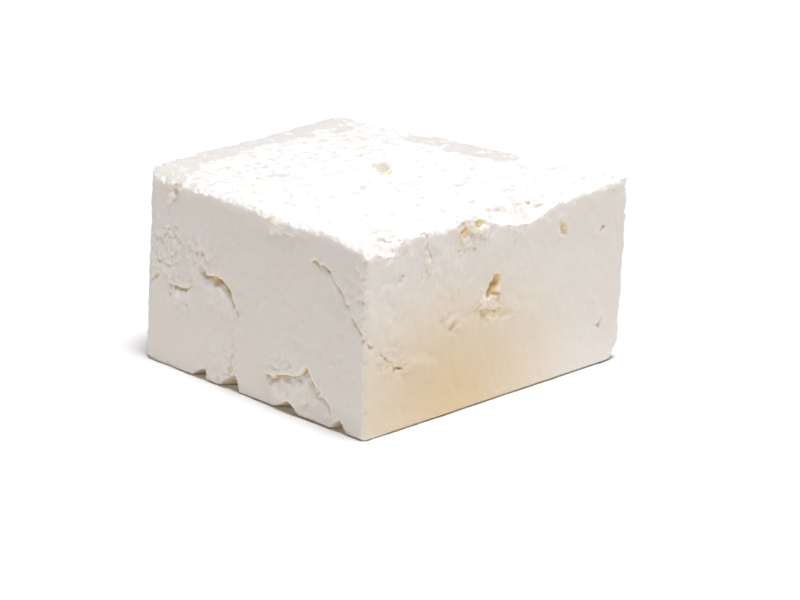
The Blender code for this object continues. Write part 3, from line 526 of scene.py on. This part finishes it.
# How each edge of the top falls off: places along the edge, its drop there, and how far in
# from the edge the fall begins. All in millimetres.
FRONT_FALL = [
    (0, 3.2, 9), (3, 3.4, 8), (5.5, 1.8, 6), (8, 4.0, 7), (10.5, 5.4, 8), (13, 4.2, 7),
    (16, 0.8, 5), (20, -0.4, 5), (24, -0.2, 5), (28, -0.6, 5), (35, 0.6, 6), (42, -0.4, 5),
    (47, -1.6, 6), (52, -0.9, 5), (56, 0.6, 7), (59, 2.0, 9), (63, 4.3, 11), (68, 5.8, 13),
    (73, 6.8, 14), (77.5, 7.1, 14), (81, 6.5, 13), (85, 4.8, 11), (89, 2.8, 10), (94, 2.0, 10),
    (102, 1.6, 10), (108, 0.9, 10), (115, 0.4, 9), (120, 0.0, 8), (128, -1.0, 8),
]
LEFT_FALL = [
    (0, 3.2, 9), (10, 3.0, 9), (14, 1.6, 9), (19, 0.0, 9), (26, 0.9, 10), (33, 1.8, 11),
    (41, 1.7, 11), (46, 2.3, 11), (53, 2.5, 11), (56, 1.2, 11), (65, 1.1, 12), (80, 1.9, 12),
    (100, 2.6, 12), (112, 3.0, 12), (123, 3.2, 12),
]
RIGHT_FALL = [
    (0, -0.8, 6), (12, 0.2, 6), (20, 0.8, 6), (40, 2.0, 8), (60, 1.0, 8), (85, 2.8, 9),
    (95, 3.6, 10), (110, 1.6, 10), (138, 2.0, 12),
]
BACK_FALL = [(0, 0.9, 5), (15, 0.5, 9), (40, 0.7, 12), (55, 1.4, 11), (80, 0.8, 12), (110, 1.2, 12)]


def crumbly_patches():
    """Where the knife tore the curd instead of cutting it clean."""
    return [
        Patch(left(0.1060, 0.0440), 0.0200, 1.0),
        Patch(left(0.0880, 0.0460), 0.0110, 0.8),
        Patch(left(0.1000, 0.0290), 0.0100, 0.4),
        Patch(left(0.0750, 0.0090), 0.0140, 0.6),
        Patch(left(0.0900, 0.0040), 0.0110, 0.6),
        Patch(left(0.0430, 0.0110), 0.0130, 0.9),
        Patch(left(0.0260, 0.0080), 0.0120, 0.7),
        Patch(left(0.0040, 0.0550), 0.0110, 0.6),
        Patch(front(0.0500, 0.0660), 0.0100, 1.0),
        Patch(front(0.0580, 0.0370), 0.0120, 0.6),
        Patch(front(0.0420, 0.0340), 0.0100, 0.4),
        Patch(front(0.0120, 0.0270), 0.0110, 0.6),
        Patch(top(0.0700, 0.0660), 0.0140, 0.5),
        Patch(top(0.0150, 0.0080), 0.0160, 0.8),
        Patch(right(0.0460, 0.0240), 0.0160, 0.9),
        Patch(right(0.0960, 0.0560), 0.0140, 0.7),
        Patch(right(0.0980, 0.0060), 0.0120, 0.7),
        Patch(back(0.0330, 0.0330), 0.0160, 0.9),
        Patch(back(0.0800, 0.0500), 0.0120, 0.6),
        Patch(back(0.0780, 0.0060), 0.0120, 0.7),
    ]


def dried_and_shaded_patches():
    """Patches of the top painted a duller white: dried skin, and painted shade beside its flakes and
    pits.
    """
    places = [
        (0.1140, 0.0470, 0.0085), (0.1120, 0.0560, 0.0100), (0.1100, 0.0660, 0.0110),
        (0.1085, 0.0760, 0.0110), (0.1070, 0.0850, 0.0100), (0.0930, 0.1180, 0.0110),
        (0.0152, 0.0105, 0.0030), (0.0190, 0.0083, 0.0026), (0.0165, 0.0040, 0.0034),
        (0.0120, 0.0045, 0.0030), (0.0624, 0.0060, 0.0020), (0.0654, 0.0056, 0.0022),
        (0.0678, 0.0058, 0.0020), (0.0700, 0.0058, 0.0021), (0.0721, 0.0050, 0.0019),
        (0.0776, 0.0052, 0.0017), (0.0802, 0.0049, 0.0018), (0.0828, 0.0044, 0.0017),
        (0.0760, 0.0030, 0.0018), (0.0790, 0.0030, 0.0019), (0.0900, 0.0030, 0.0019),
        (0.0634, 0.0135, 0.0024), (0.0738, 0.0309, 0.0030), (0.0312, 0.0846, 0.0036),
        (0.0352, 0.0820, 0.0034), (0.0262, 0.0850, 0.0030),
    ]
    return [Patch(top(x, y), radius, DRIED_AND_SHADED) for x, y, radius in places]


def moist_and_shaded_patches():
    """Patches at the edges and in the pits of the top painted the yellower inside's colour and warm
    shade.
    """
    return [
        Patch(front(0.0464, 0.0666), 0.0026, 0.9),
        Patch(front(0.0532, 0.0686), 0.0026, 0.9),
        Patch(front(0.0440, 0.0690), 0.0012, 0.6),
        Patch(front(0.0445, 0.0637), 0.0014, 0.6),
        Patch(front(0.0509, 0.0612), 0.0012, 0.5),
        Patch(front(0.0543, 0.0643), 0.0012, 0.4),
        Patch(front(0.0287, 0.0690), 0.0012, 0.3),
        Patch(left(0.0505, 0.0685), 0.0022, 0.5),
        Patch(top(0.0284, 0.0824), 0.0022, 0.6),
        Patch(top(0.0648, 0.0632), 0.0018, 0.5),
        Patch(top(0.0662, 0.0620), 0.0018, 0.5),
        Patch(top(0.0676, 0.0608), 0.0018, 0.6),
    ]


def patch_share(points, patches, core):
    """The strongest patch's share at each point. A patch is full out to its core, a share of
    its radius, and is measured in as many directions as the points have."""
    share = np.zeros(len(points))
    for patch in patches:
        middle = patch.middle[: points.shape[1]]
        reach = np.linalg.norm(points - middle, axis=1) / patch.radius
        share = np.maximum(share, patch.strength * (1 - smooth_step(reach, core, 1.0)))
    return share


def crumbliness(points):
    """How rough the curd is at each point, from 0 to 1."""
    return patch_share(points, crumbly_patches(), CRUMBLY_CORE)


def smooth_route(route, steps=5):
    """A Catmull-Rom curve through the route's points."""
    if len(route) < 3:
        return route
    ends = np.vstack([2 * route[0] - route[1], route, 2 * route[-1] - route[-2]])
    curve = []
    for before, start, end, after in zip(ends, ends[1:], ends[2:], ends[3:]):
        for t in np.arange(steps) / steps:
            curve.append(
                0.5
                * (
                    2 * start
                    + (end - before) * t
                    + (2 * before - 5 * start + 4 * end - after) * t**2
                    + (3 * start - before - 3 * end + after) * t**3
                )
            )
    return np.array([*curve, route[-1]])


def smooth_step(values, low, high):
    """0 below the low value, 1 above the high one, and smooth between them."""
    t = np.clip((values - low) / (high - low), 0.0, 1.0)
    return t * t * (3 - 2 * t)


def fade(distance, reach):
    """1 at no distance, and 0 from this reach on."""
    return np.clip(1 - distance / reach, 0.0, 1.0)


def noise_field(points, size, seed):
    """Smooth noise from about -1 to 1, with lumps of this size."""
    places = points / size + SEED_STEP * seed
    return np.array([noise.noise(place) for place in places.tolist()])


def noise_shift(points, size, seeds):
    """A noise vector at each point, with one seed for each direction."""
    return np.stack([noise_field(points, size, seed) for seed in seeds], axis=1)


def points_near(route, points, reach):
    """The indices of the points in the route's box, grown by this reach."""
    low = route[:, :3].min(axis=0) - reach
    high = route[:, :3].max(axis=0) + reach
    return np.flatnonzero(np.all((points > low) & (points < high), axis=1))


def nearest_on_route(route, points, normals):
    """Distance to the route, its openness there, and whether the point is on its right hand."""
    distance = np.full(len(points), np.inf)
    opening = np.zeros(len(points))
    on_right = np.zeros(len(points), bool)
    if len(route) == 1:
        return np.linalg.norm(points - route[0, :3], axis=1), opening + route[0, 3], on_right
    for start, end in zip(route, route[1:]):
        line = end[:3] - start[:3]
        share = np.clip((points - start[:3]) @ line / (line @ line), 0.0, 1.0)
        off = points - start[:3] - share[:, None] * line
        reach = np.linalg.norm(off, axis=1)
        nearer = reach < distance
        distance[nearer] = reach[nearer]
        opening[nearer] = (start[3] + share * (end[3] - start[3]))[nearer]
        turn = np.einsum("ij,ij->i", np.cross(line, off), normals)
        on_right[nearer] = turn[nearer] < 0
    return distance, opening, on_right


def carve(cut, points, normals, shift, flutter):
    """How deep the slit and its rolled lip go at each point, and how close its torn rim is."""
    slit_depth = np.zeros(len(points))
    lip_depth = np.zeros(len(points))
    rim = np.zeros(len(points))
    close = points_near(cut.route, points, max(cut.width, cut.lip, RIM_REACH) * CUT_REACH)
    if not len(close):
        return slit_depth, lip_depth, rim
    shifted = points[close] + cut.ragged * shift[close]
    distance, opening, on_right = nearest_on_route(cut.route, shifted, normals[close])
    fray = cut.ragged * min(1.0, FRAYED_WIDTH / cut.width)
    swing = 1 - FRAY_LOSS * fray + FRAY_SWING * fray * flutter[close]
    opening = opening * np.clip(swing, LEAST_FRAY, MOST_FRAY)
    width = cut.width * (CLOSED_WIDTH + (1 - CLOSED_WIDTH) * opening)
    slit = np.clip(1 - (distance / width) ** 2, 0.0, 1.0)
    slit_depth[close] = cut.depth * opening * slit
    if cut.lip:
        roll = fade(distance, cut.lip) ** 2
        overhang = -OVERHANG * fade(distance, OVERHANG_REACH * cut.lip) ** 2
        drop = cut.drop * np.minimum(opening * DROP_GAIN, 1.0)
        lip_depth[close] = drop * np.where(on_right, roll, overhang)
    if cut.depth > RIM_HEIGHT:
        rim[close] = fade(distance, RIM_REACH) * opening
    return slit_depth, lip_depth, rim


def block_grid():
    """A closed grid of quads over a unit cube, its steps about GRID_STEP in every direction."""
    grid = bmesh.new()
    bmesh.ops.create_cube(grid, size=1.0)
    for axis, length in enumerate((FRONT_WIDTH, RIGHT_DEPTH, HEIGHT)):
        along_axis = [
            edge
            for edge in grid.edges
            if abs((edge.verts[0].co - edge.verts[1].co)[axis]) > 0.5
        ]
        bmesh.ops.subdivide_edges(
            grid, edges=along_axis, cuts=round(length / GRID_STEP) - 1, use_grid_fill=True
        )
    return grid


def rounded_points(shares):
    """The grid's points on the block, with its edges rounded and rounder at the foot."""
    size = np.array([FRONT_WIDTH, RIGHT_DEPTH, HEIGHT])
    points = shares * size
    near_foot = np.exp(-points[:, 2] / FOOT_EDGE_REACH)
    radius = (EDGE_RADIUS + (FOOT_EDGE_RADIUS - EDGE_RADIUS) * near_foot)[:, None]
    core = np.clip(points, radius, size - radius)
    outward = points - core
    outward /= np.linalg.norm(outward, axis=1, keepdims=True)
    rounded = core + radius * outward
    for (right_side, back_side), corner_radius in CORNER_RADII.items():
        corner = size[:2] * (right_side, back_side)
        inward = np.where(corner > 0, -1.0, 1.0)
        gap = (rounded[:, :2] - corner) * inward
        reach = fade(gap, corner_radius)
        squeezed = reach * np.sqrt(1 - reach[:, ::-1] ** 2 / 2)
        both = np.all(reach > 0, axis=1)
        rounded[both, :2] = (corner + inward * corner_radius * (1 - squeezed))[both]
    return block_point(*(rounded / size).T)


def sagged_points(points):
    """The points with the edges of the top worn down, most of all where the curd broke off."""
    across, along, up = shares_of(points).T
    from_edges = [
        (FRONT_FALL, across * FRONT_WIDTH, along * RIGHT_DEPTH),
        (LEFT_FALL, along * LEFT_DEPTH, across * FRONT_WIDTH),
        (RIGHT_FALL, along * RIGHT_DEPTH, (1 - across) * FRONT_WIDTH),
        (BACK_FALL, across * BACK_WIDTH, (1 - along) * RIGHT_DEPTH),
    ]
    wander = FALL_WANDER * noise_field(points, FALL_WANDER_SIZE, 31)
    torn = noise_field(points, TEAR_SIZE, 32) + SHRED_SHARE * noise_field(points, SHRED_SIZE, 33)
    tears = TEAR_DEPTH * np.clip(torn + TEAR_SPREAD, 0.0, 1.0)
    sag = np.zeros(len(points))
    rise = np.zeros(len(points))
    for fall, place, inward in from_edges:
        stops, drops, reaches = np.array(fall).T / 1000
        start = np.interp(place + wander, stops, reaches)
        slope = fade(np.maximum(inward + wander, 0.0), start) ** 2
        drop = np.interp(place + wander, stops, drops) * slope
        drop += tears * fade(inward, TEAR_REACH)
        sag = np.maximum(sag, drop)
        rise = np.minimum(rise, drop)
    points[:, 2] -= (sag + rise) * up**FALL_STEEPNESS
    return points


def notch_shape(notch, points):
    """The notch's inward direction, the points' distance in, and how far it presses them in."""
    start, end = np.array(notch.start[:2]), np.array(notch.end[:2])
    length = np.linalg.norm(end - start)
    along = (end - start) / length
    inward = np.array([-along[1], along[0]])
    inward *= np.sign((BACK_RIGHT / 2 - start) @ inward)
    share = (points[:, :2] - start) @ along / length
    ramp = smooth_step(share, 0.0, NOTCH_FULL) * (1 - smooth_step(share, NOTCH_END, 1.0))
    height = np.maximum(notch.height * ramp, NOTCH_LEAST)
    arch = np.clip(1 - (points[:, 2] / height) ** 2, 0.0, 1.0)
    distance = (points[:, :2] - start) @ inward
    return inward, distance, notch.depth * ramp * np.sqrt(arch)


def notched_points(points):
    """The points with the foot pressed in at each notch, and how far in each lies, as a share."""
    shifted = points + RAGGED_SHIFT * noise_shift(points, RAGGED_SIZE, (4, 5, 6))
    shifted[:, 2] = np.where(points[:, 2] > 0, shifted[:, 2], 0.0)
    share = np.zeros(len(points))
    for notch in foot_notches():
        inward, distance, depth = notch_shape(notch, shifted)
        share = np.maximum(share, depth * (distance < notch.depth) / notch.depth)
        press = depth * fade(distance, NOTCH_GIVE)
        points[:, :2] += press[:, None] * inward
    return points, share


def scooped_points(points):
    """The points with those inside a scoop's ball pushed out onto its broken surface."""
    broken = BREAK_HEIGHT * noise_field(points, BREAK_SIZE, 21)
    broken += BREAK_GRAIN_HEIGHT * noise_field(points, BREAK_GRAIN_SIZE, 22)
    for scoop in all_scoops():
        facing = np.array(scoop.facing) / np.linalg.norm(scoop.facing)
        middle = np.array(scoop.place[:3]) + facing * (scoop.radius - scoop.depth)
        off = points - middle
        reach = np.linalg.norm(off, axis=1)
        radius = scoop.radius + broken
        inside = np.flatnonzero(reach < radius)
        points[inside] = middle + off[inside] * (radius / reach)[inside, None]
    points[:, 2] = np.maximum(points[:, 2], 0.0)
    return points


def shares_of(points):
    """Roughly where each point of the block lies, as shares of its width, depth and height."""
    along = points[:, 1] / (LEFT_DEPTH + (RIGHT_DEPTH - LEFT_DEPTH) * points[:, 0] / FRONT_WIDTH)
    width = FRONT_WIDTH + (BACK_WIDTH - FRONT_WIDTH) * along
    across = (points[:, 0] - BACK_LEFT[0] * along) / width
    up = points[:, 2] / (HEIGHT + BACK_LEFT_RISE * (1 - across) * along)
    across -= LEAN_BACK_LEFT[0] * along * up / width
    return np.clip(np.stack([across, along, up], axis=1), 0.0, 1.0)


def edge_distance(shares):
    """How far each grid point is from the nearest edge of the block."""
    size = np.array([FRONT_WIDTH, RIGHT_DEPTH, HEIGHT])
    from_faces = np.minimum(shares, 1 - shares) * size
    return np.sort(from_faces, axis=1)[:, 1]


def facing_up(normals):
    """How far each point belongs to the top, from 0 to 1."""
    return smooth_step(normals[:, 2], TOP_FROM, TOP_TO)


def facing_front(normals):
    """How far each point belongs to the front face, from 0 to 1."""
    return smooth_step(-normals[:, 1], FRONT_FROM, FRONT_TO)


def relief(points, normals):
    """How far each point moves outwards, and how deep it lies in a crack or pit."""
    from_edge = edge_distance(shares_of(points))
    free = smooth_step(normals[:, 2], BASE_END, FREE_FROM)
    height = WAVE_HEIGHT * noise_field(points, WAVE_SIZE, 1)
    height += LUMP_HEIGHT * noise_field(points, LUMP_SIZE, 2)
    crumbs = np.clip(noise_field(points, CRUMB_SIZE, 3) + CRUMB_SPREAD, 0.0, 1.0)
    at_top = smooth_step(points[:, 2], CRUMBS_FROM * HEIGHT, HEIGHT)
    at_foot = 1 - smooth_step(points[:, 2], 0.0, FOOT_CRUMB_REACH)
    crumbs *= UPRIGHT_CRUMBS + (1 - UPRIGHT_CRUMBS) * at_top + FOOT_CRUMBS * at_foot
    loss = CRUMB_DEPTH * crumbs * (1 - smooth_step(from_edge, 0.0, CRUMB_REACH))
    teeth = np.clip(noise_field(points, TOOTH_SIZE, 7), 0.0, 1.0)
    loss += TOOTH_DEPTH * teeth * (1 - smooth_step(from_edge, 0.0, TOOTH_REACH))
    height -= np.minimum(loss, EDGE_LOSS)
    crumbly = crumbliness(points)
    dents = np.clip(noise_field(points, DENT_SIZE, 14) - DENT_SHARE, 0.0, 1.0) / (1 - DENT_SHARE)
    height -= DENT_DEPTH * crumbly * dents
    roughness = 1 + CRUMBLY_ROUGHNESS * crumbly
    height += CURD_HEIGHT * roughness * noise_field(points, CURD_SIZE, 8)
    roughness += (TOP_ROUGHNESS - 1) * facing_up(normals)
    height += GRAIN_HEIGHT * roughness * noise_field(points, GRAIN_SIZE, 9)
    height *= free
    shift = RAGGED_SHIFT * noise_shift(points, RAGGED_SIZE, (4, 5, 6))
    shift += SPLINTER_SHIFT * noise_shift(points, SPLINTER_SIZE, (10, 11, 12))
    flutter = noise_field(points, FLUTTER_SIZE, 13)
    depth = np.zeros(len(points))
    torn = np.zeros(len(points))
    for cut in all_cuts():
        slit_depth, lip_depth, rim = carve(cut, points, normals, shift, flutter)
        depth += slit_depth
        torn = np.maximum(torn, rim)
        height -= slit_depth + lip_depth
    height += RIM_HEIGHT * torn * noise_field(points, RIM_SIZE, 15)
    return height, depth


def moistness_and_shade(points, normals, depth, notch_share):
    """How much of the moist inside's colour and painted warm shade each point gets, more the deeper
    it lies in a crack, pit or notch, from 0 to 1.
    """
    upward = facing_up(normals)
    moist = np.maximum((depth - TOP_TINT_DEPTH * upward) / CREVICE_DEPTH, NOTCH_CREVICE * notch_share)
    moist = np.maximum(moist, patch_share(points, moist_and_shaded_patches(), MOIST_AND_SHADED_CORE))
    return np.minimum(moist, 1 - TOP_PALENESS * upward)


def dullness_and_painted_shade(points, normals):
    """How far each point of the top is painted a duller white, for dried skin and for painted shade,
    from 0 to 1.
    """
    across, along = shares_of(points).T[:2]
    from_back = (1 - along) * RIGHT_DEPTH
    from_back += DULL_WANDER * noise_field(points, DULL_WANDER_SIZE, 41)
    from_corner = np.hypot(from_back, across * FRONT_WIDTH)
    dull = DULL_FRONT + DULL_GAIN * smooth_step(along, DULL_START, 1.0)
    for distance, reach in ((from_back, DULL_BAND), (from_corner, DULL_CORNER)):
        dull = np.maximum(dull, 1 - smooth_step(distance, reach, reach + DULL_FADE))
    dull = np.maximum(dull, patch_share(points[:, :2], dried_and_shaded_patches(), DRIED_AND_SHADED_CORE))
    return dull * smooth_step(normals[:, 2], SKIN_FROM, SKIN_TO)


def knife_drag(points, normals):
    """How much the knife dragged over each point of the front face, from 0 to 1."""
    across = 1 - smooth_step(np.abs(points[:, 0] - DRAG_MIDDLE), DRAG_FULL, DRAG_END)
    return facing_front(normals) * across * smooth_step(points[:, 2], DRAG_LOW, DRAG_HIGH)


def whey_cream_and_painted_bounce(points, normals):
    """How far whey cream and painted warm bounce light and shade tint each point of the front face,
    from 0 to 1.
    """
    glow = np.hypot((points[:, 0] - WHEY_BOUNCE_X) / WHEY_BOUNCE_REACH, (points[:, 2] - WHEY_BOUNCE_Z) / WHEY_BOUNCE_RISE)
    return facing_front(normals) * (1 - smooth_step(glow, 0.0, 1.0))


def edge_middles(grid):
    """The middle of each edge of the grid."""
    grid.edges.ensure_lookup_table()
    return np.array([edge.verts[0].co + edge.verts[1].co for edge in grid.edges]) / 2


def subdivide_chosen(grid, chosen, cuts):
    """Cuts the chosen edges, and the faces between them."""
    grid.edges.ensure_lookup_table()
    edges = [grid.edges[index] for index in np.flatnonzero(chosen)]
    bmesh.ops.subdivide_edges(grid, edges=edges, cuts=cuts, use_grid_fill=True)


def refine_grid(grid):
    """Makes the grid finer at the top's edges, crumbly patches and notches, and at the cuts."""
    middles = edge_middles(grid)
    along_edge = edge_distance(shares_of(middles)) < EDGE_BAND
    finer = along_edge & (middles[:, 2] > HEIGHT / 2)
    finer |= crumbliness(middles) > FINE_CRUMBLINESS
    for notch in foot_notches():
        distance, depth = notch_shape(notch, middles)[1:]
        finer |= (depth > 0) & (distance < NOTCH_BAND)
    subdivide_chosen(grid, finer, 1)
    middles = edge_middles(grid)
    at_cut = np.zeros(len(middles), bool)
    for cut in all_cuts():
        close = points_near(cut.route, middles, 2 * cut.width + CUT_BAND)
        around = middles[close]
        distance = nearest_on_route(cut.route, around, np.zeros_like(around))[0]
        at_cut[close] |= distance < min(cut.width, WIDE_CUT) + CUT_BAND
    subdivide_chosen(grid, at_cut, 1)


def points_of(grid):
    """Where the grid's vertices are."""
    return np.array([vert.co for vert in grid.verts])


def place_vertices(grid, points):
    """Moves the grid's vertices to these points."""
    for vert, point in zip(grid.verts, points.tolist()):
        vert.co = point
    grid.normal_update()


def paint(grid, name, shares):
    """Stores a share from 0 to 1 at each vertex under this name, for the material."""
    layer = grid.verts.layers.float.new(name)
    for vert, share in zip(grid.verts, np.clip(shares, 0.0, 1.0).tolist()):
        vert[layer] = share


def calm_normals(grid):
    """The normals of the grid's points, evened out so that no ragged edge folds over itself."""
    normals = np.array([vert.normal for vert in grid.verts])
    grid.verts.index_update()
    ends = np.array([[vert.index for vert in edge.verts] for edge in grid.edges])
    for _ in range(CALM_ROUNDS):
        total = normals.copy()
        np.add.at(total, ends[:, 0], normals[ends[:, 1]])
        np.add.at(total, ends[:, 1], normals[ends[:, 0]])
        normals = total / np.linalg.norm(total, axis=1, keepdims=True)
    return normals


def carved_block():
    """The block's mesh with all its relief, centred and standing on z = 0."""
    grid = block_grid()
    place_vertices(grid, rounded_points(points_of(grid) + 0.5))
    refine_grid(grid)
    bmesh.ops.recalc_face_normals(grid, faces=grid.faces)
    place_vertices(grid, sagged_points(points_of(grid)))
    notched, notch_share = notched_points(points_of(grid))
    place_vertices(grid, scooped_points(notched))
    points = points_of(grid)
    normals = calm_normals(grid)
    height, depth = relief(points, normals)
    moved = points + normals * height[:, None]
    moved[:, 2] = np.maximum(moved[:, 2], 0.0)
    moved[:, :2] -= (moved[:, :2].min(axis=0) + moved[:, :2].max(axis=0)) / 2
    place_vertices(grid, moved)
    # The moist inside's colour with painted warm shade, by depth in cracks, pits and notches
    paint(grid, "crevice", moistness_and_shade(points, normals, depth, notch_share))
    paint(grid, "knife_drag", knife_drag(points, normals))
    # Whey cream and painted warm bounce light and shade, low on the front face
    paint(grid, "whey_cream_and_painted_bounce", whey_cream_and_painted_bounce(points, normals))
    # Dried skin and painted shade on the top, most along its back edge
    paint(grid, "dull_skin_and_painted_shade", dullness_and_painted_shade(points, normals))
    bmesh.ops.triangulate(grid, faces=grid.faces)
    mesh = bpy.data.meshes.new("feta_curd_block")
    grid.to_mesh(mesh)
    grid.free()
    mesh.shade_smooth()
    return mesh


def add_object(name, data):
    """Puts an object of this name and with this data in the scene."""
    added = bpy.data.objects.new(name, data)
    bpy.context.collection.objects.link(added)
    return added


def make_block():
    """The carved block, thinned out to TRIANGLES where its mesh is finer than its shape."""
    block = add_object("feta_curd", carved_block())
    thin_out = block.modifiers.new("thin_out", "DECIMATE")
    thin_out.ratio = min(1.0, TRIANGLES / len(block.data.polygons))
    bpy.context.view_layer.update()
    evaluated = block.evaluated_get(bpy.context.evaluated_depsgraph_get())
    thin = bpy.data.meshes.new_from_object(evaluated)
    block.modifiers.clear()
    block.data = thin
    return block


def linear(hex_colour):
    """An sRGB hex colour as linear RGBA."""
    shares = [int(hex_colour[i : i + 2], 16) / 255 for i in (1, 3, 5)]
    return (*[s / 12.92 if s <= 0.04045 else ((s + 0.055) / 1.055) ** 2.4 for s in shares], 1.0)


def add_node(tree, kind, settings, links=()):
    """Adds a node, sets its properties and sockets, and links sources to its sockets."""
    node = tree.nodes.new(kind)
    for name, value in settings.items():
        if isinstance(name, str) and hasattr(node, name):
            setattr(node, name, value)
        else:
            node.inputs[name].default_value = value
    for socket, source in dict(links).items():
        tree.links.new(source, node.inputs[socket])
    return node


def feta_curd_material():
    """Brined curd, cut with a knife: creamy white, grainy and moist, with light inside it, and with
    warm shade, bounce light and dull shade painted into its colour.
    """
    material = bpy.data.materials.new("cut_feta_curd")
    material.use_nodes = True
    tree = material.node_tree
    shader = tree.nodes["Principled BSDF"]
    place = add_node(tree, "ShaderNodeTexCoord", {}).outputs["Object"]
    crevice, whey_and_bounce, dull, drag = (
        add_node(tree, "ShaderNodeAttribute", {"attribute_name": name}).outputs["Fac"]
        for name in ("crevice", "whey_cream_and_painted_bounce", "dull_skin_and_painted_shade", "knife_drag")
    )
    mottle = add_node(
        tree,
        "ShaderNodeTexNoise",
        {"Scale": 1 / MOTTLE_SIZE, "Detail": 4.0, "Roughness": 0.6},
        {"Vector": place},
    ).outputs["Fac"]
    curd = add_node(
        tree,
        "ShaderNodeMix",
        {"data_type": "RGBA", 6: linear(CURD_WHITE), 7: linear(CURD_CREAM)},
        {0: mottle},
    ).outputs[2]
    # Whey cream and painted warm bounce light and shade on the lower front face
    creamy = add_node(
        tree,
        "ShaderNodeMix",
        {"data_type": "RGBA", 7: linear(WHEY_CREAM_AND_BOUNCE)},
        {0: whey_and_bounce, 6: curd},
    ).outputs[2]
    specks = add_node(
        tree,
        "ShaderNodeTexNoise",
        {"Scale": 1 / SPECK_SIZE, "Detail": 3.0, "Roughness": 0.7},
        {"Vector": place},
    ).outputs["Fac"]
    speckled = add_node(
        tree,
        "ShaderNodeMath",
        {"operation": "MULTIPLY_ADD", 1: DRYNESS_AND_SHADE_SHARE},
        {0: dull, 2: specks},
    ).outputs["Value"]
    dull_share = add_node(
        tree,
        "ShaderNodeMapRange",
        {"From Min": DULL_FROM, "From Max": DULL_TO},
        {"Value": speckled},
    ).outputs["Result"]
    # Dull white where the top has dried and where shade is painted on it
    skin = add_node(
        tree,
        "ShaderNodeMix",
        {"data_type": "RGBA", 7: linear(DRIED_SKIN_AND_SHADE)},
        {0: dull_share, 6: creamy},
    ).outputs[2]
    # Moist inside's yellow and painted warm shade in the cracks, pits and notches
    colour = add_node(
        tree,
        "ShaderNodeMix",
        {"data_type": "RGBA", 7: linear(MOIST_INSIDE_AND_SHADE)},
        {0: crevice, 6: skin},
    ).outputs[2]
    tree.links.new(colour, shader.inputs["Base Color"])
    shader.inputs["Roughness"].default_value = 0.5
    shader.inputs["IOR"].default_value = 1.42
    shader.inputs["Subsurface Weight"].default_value = 1.0
    shader.inputs["Subsurface Radius"].default_value = (1.0, 0.9, 0.75)
    shader.inputs["Subsurface Scale"].default_value = LIGHT_SPREAD
    grain = add_node(
        tree,
        "ShaderNodeTexNoise",
        {"Scale": 1 / SKIN_GRAIN_SIZE, "Detail": 3.0, "Roughness": 0.6},
        {"Vector": place},
    ).outputs["Fac"]
    grain_bump = add_node(
        tree,
        "ShaderNodeBump",
        {"Strength": 0.6, "Distance": SKIN_GRAIN_BUMP},
        {"Height": grain},
    ).outputs["Normal"]
    streak_scale = (1 / STREAK_WIDTH, 1 / STREAK_WIDTH, 1 / STREAK_LENGTH)
    streak_place = add_node(
        tree,
        "ShaderNodeMapping",
        {"Rotation": (0.0, STREAK_LEAN, 0.0), "Scale": streak_scale},
        {"Vector": place},
    ).outputs["Vector"]
    streaks = add_node(
        tree,
        "ShaderNodeTexNoise",
        {"Scale": 1.0, "Detail": 2.0, "Roughness": 0.5},
        {"Vector": streak_place},
    ).outputs["Fac"]
    bump = add_node(
        tree,
        "ShaderNodeBump",
        {"Distance": STREAK_BUMP},
        {"Strength": drag, "Height": streaks, "Normal": grain_bump},
    ).outputs["Normal"]
    tree.links.new(bump, shader.inputs["Normal"])
    return material


def floor_material():
    """Matt studio paper: an even white without shine."""
    material = bpy.data.materials.new("white_studio_paper")
    material.use_nodes = True
    tree = material.node_tree
    shader = tree.nodes["Principled BSDF"]
    shader.inputs["Base Color"].default_value = linear(PAPER_WHITE)
    shader.inputs["Roughness"].default_value = 0.9
    shader.inputs["Specular IOR Level"].default_value = 0.0
    return material


def make_floor():
    """A wide sheet of studio paper under the block."""
    sheet = bmesh.new()
    bmesh.ops.create_grid(sheet, x_segments=1, y_segments=1, size=4.0)
    mesh = bpy.data.meshes.new("studio_floor")
    sheet.to_mesh(mesh)
    sheet.free()
    mesh.materials.append(floor_material())
    return add_object("studio_floor", mesh)


def add_sun(name, colour, strength, angle, toward):
    """A soft lamp far away, in this direction from the block."""
    light = bpy.data.lights.new(name, "SUN")
    light.color = colour
    light.energy = strength
    light.angle = math.radians(angle)
    lamp = add_object(name, light)
    lamp.rotation_euler = Vector(toward).to_track_quat("Z", "Y").to_euler()


def light_studio():
    """Faint white surroundings, a wide overhead light, and a low warm one on the near corner."""
    world = bpy.data.worlds.new("white_studio")
    world.use_nodes = True
    background = world.node_tree.nodes["Background"]
    background.inputs["Color"].default_value = (0.94, 0.95, 1.0, 1.0)
    background.inputs["Strength"].default_value = 0.07
    bpy.context.scene.world = world
    add_sun(
        "overhead_softbox", (0.92, 0.94, 1.0), strength=3.98, angle=22, toward=(0.03, -0.14, 0.99)
    )
    add_sun("warm_fill", (1.0, 0.55, 0.15), strength=0.37, angle=40, toward=(-0.68, -0.73, 0.03))


# The photograph's view: a long lens, looking down at the front left corner
CAMERA_PLACE = Vector((-0.6662, -0.7314, 0.3616))
CAMERA_AIM = Vector((-0.0221, -0.0392, 0.0360))
CAMERA_LENS = 126.0


def place_camera():
    """Puts the camera where the photograph was taken from."""
    camera = bpy.data.cameras.new("camera")
    camera.lens = CAMERA_LENS
    camera.sensor_width = 36.0
    camera.clip_start = 0.05
    viewer = add_object("camera", camera)
    viewer.location = CAMERA_PLACE
    viewer.rotation_euler = (CAMERA_AIM - CAMERA_PLACE).to_track_quat("-Z", "Y").to_euler()
    bpy.context.scene.camera = viewer


place_camera()
light_studio()
make_floor()
block = make_block()
block.data.materials.append(feta_curd_material())
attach(block, "root")
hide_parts("feta_block")
bpy.context.scene.view_settings.view_transform = "Standard"
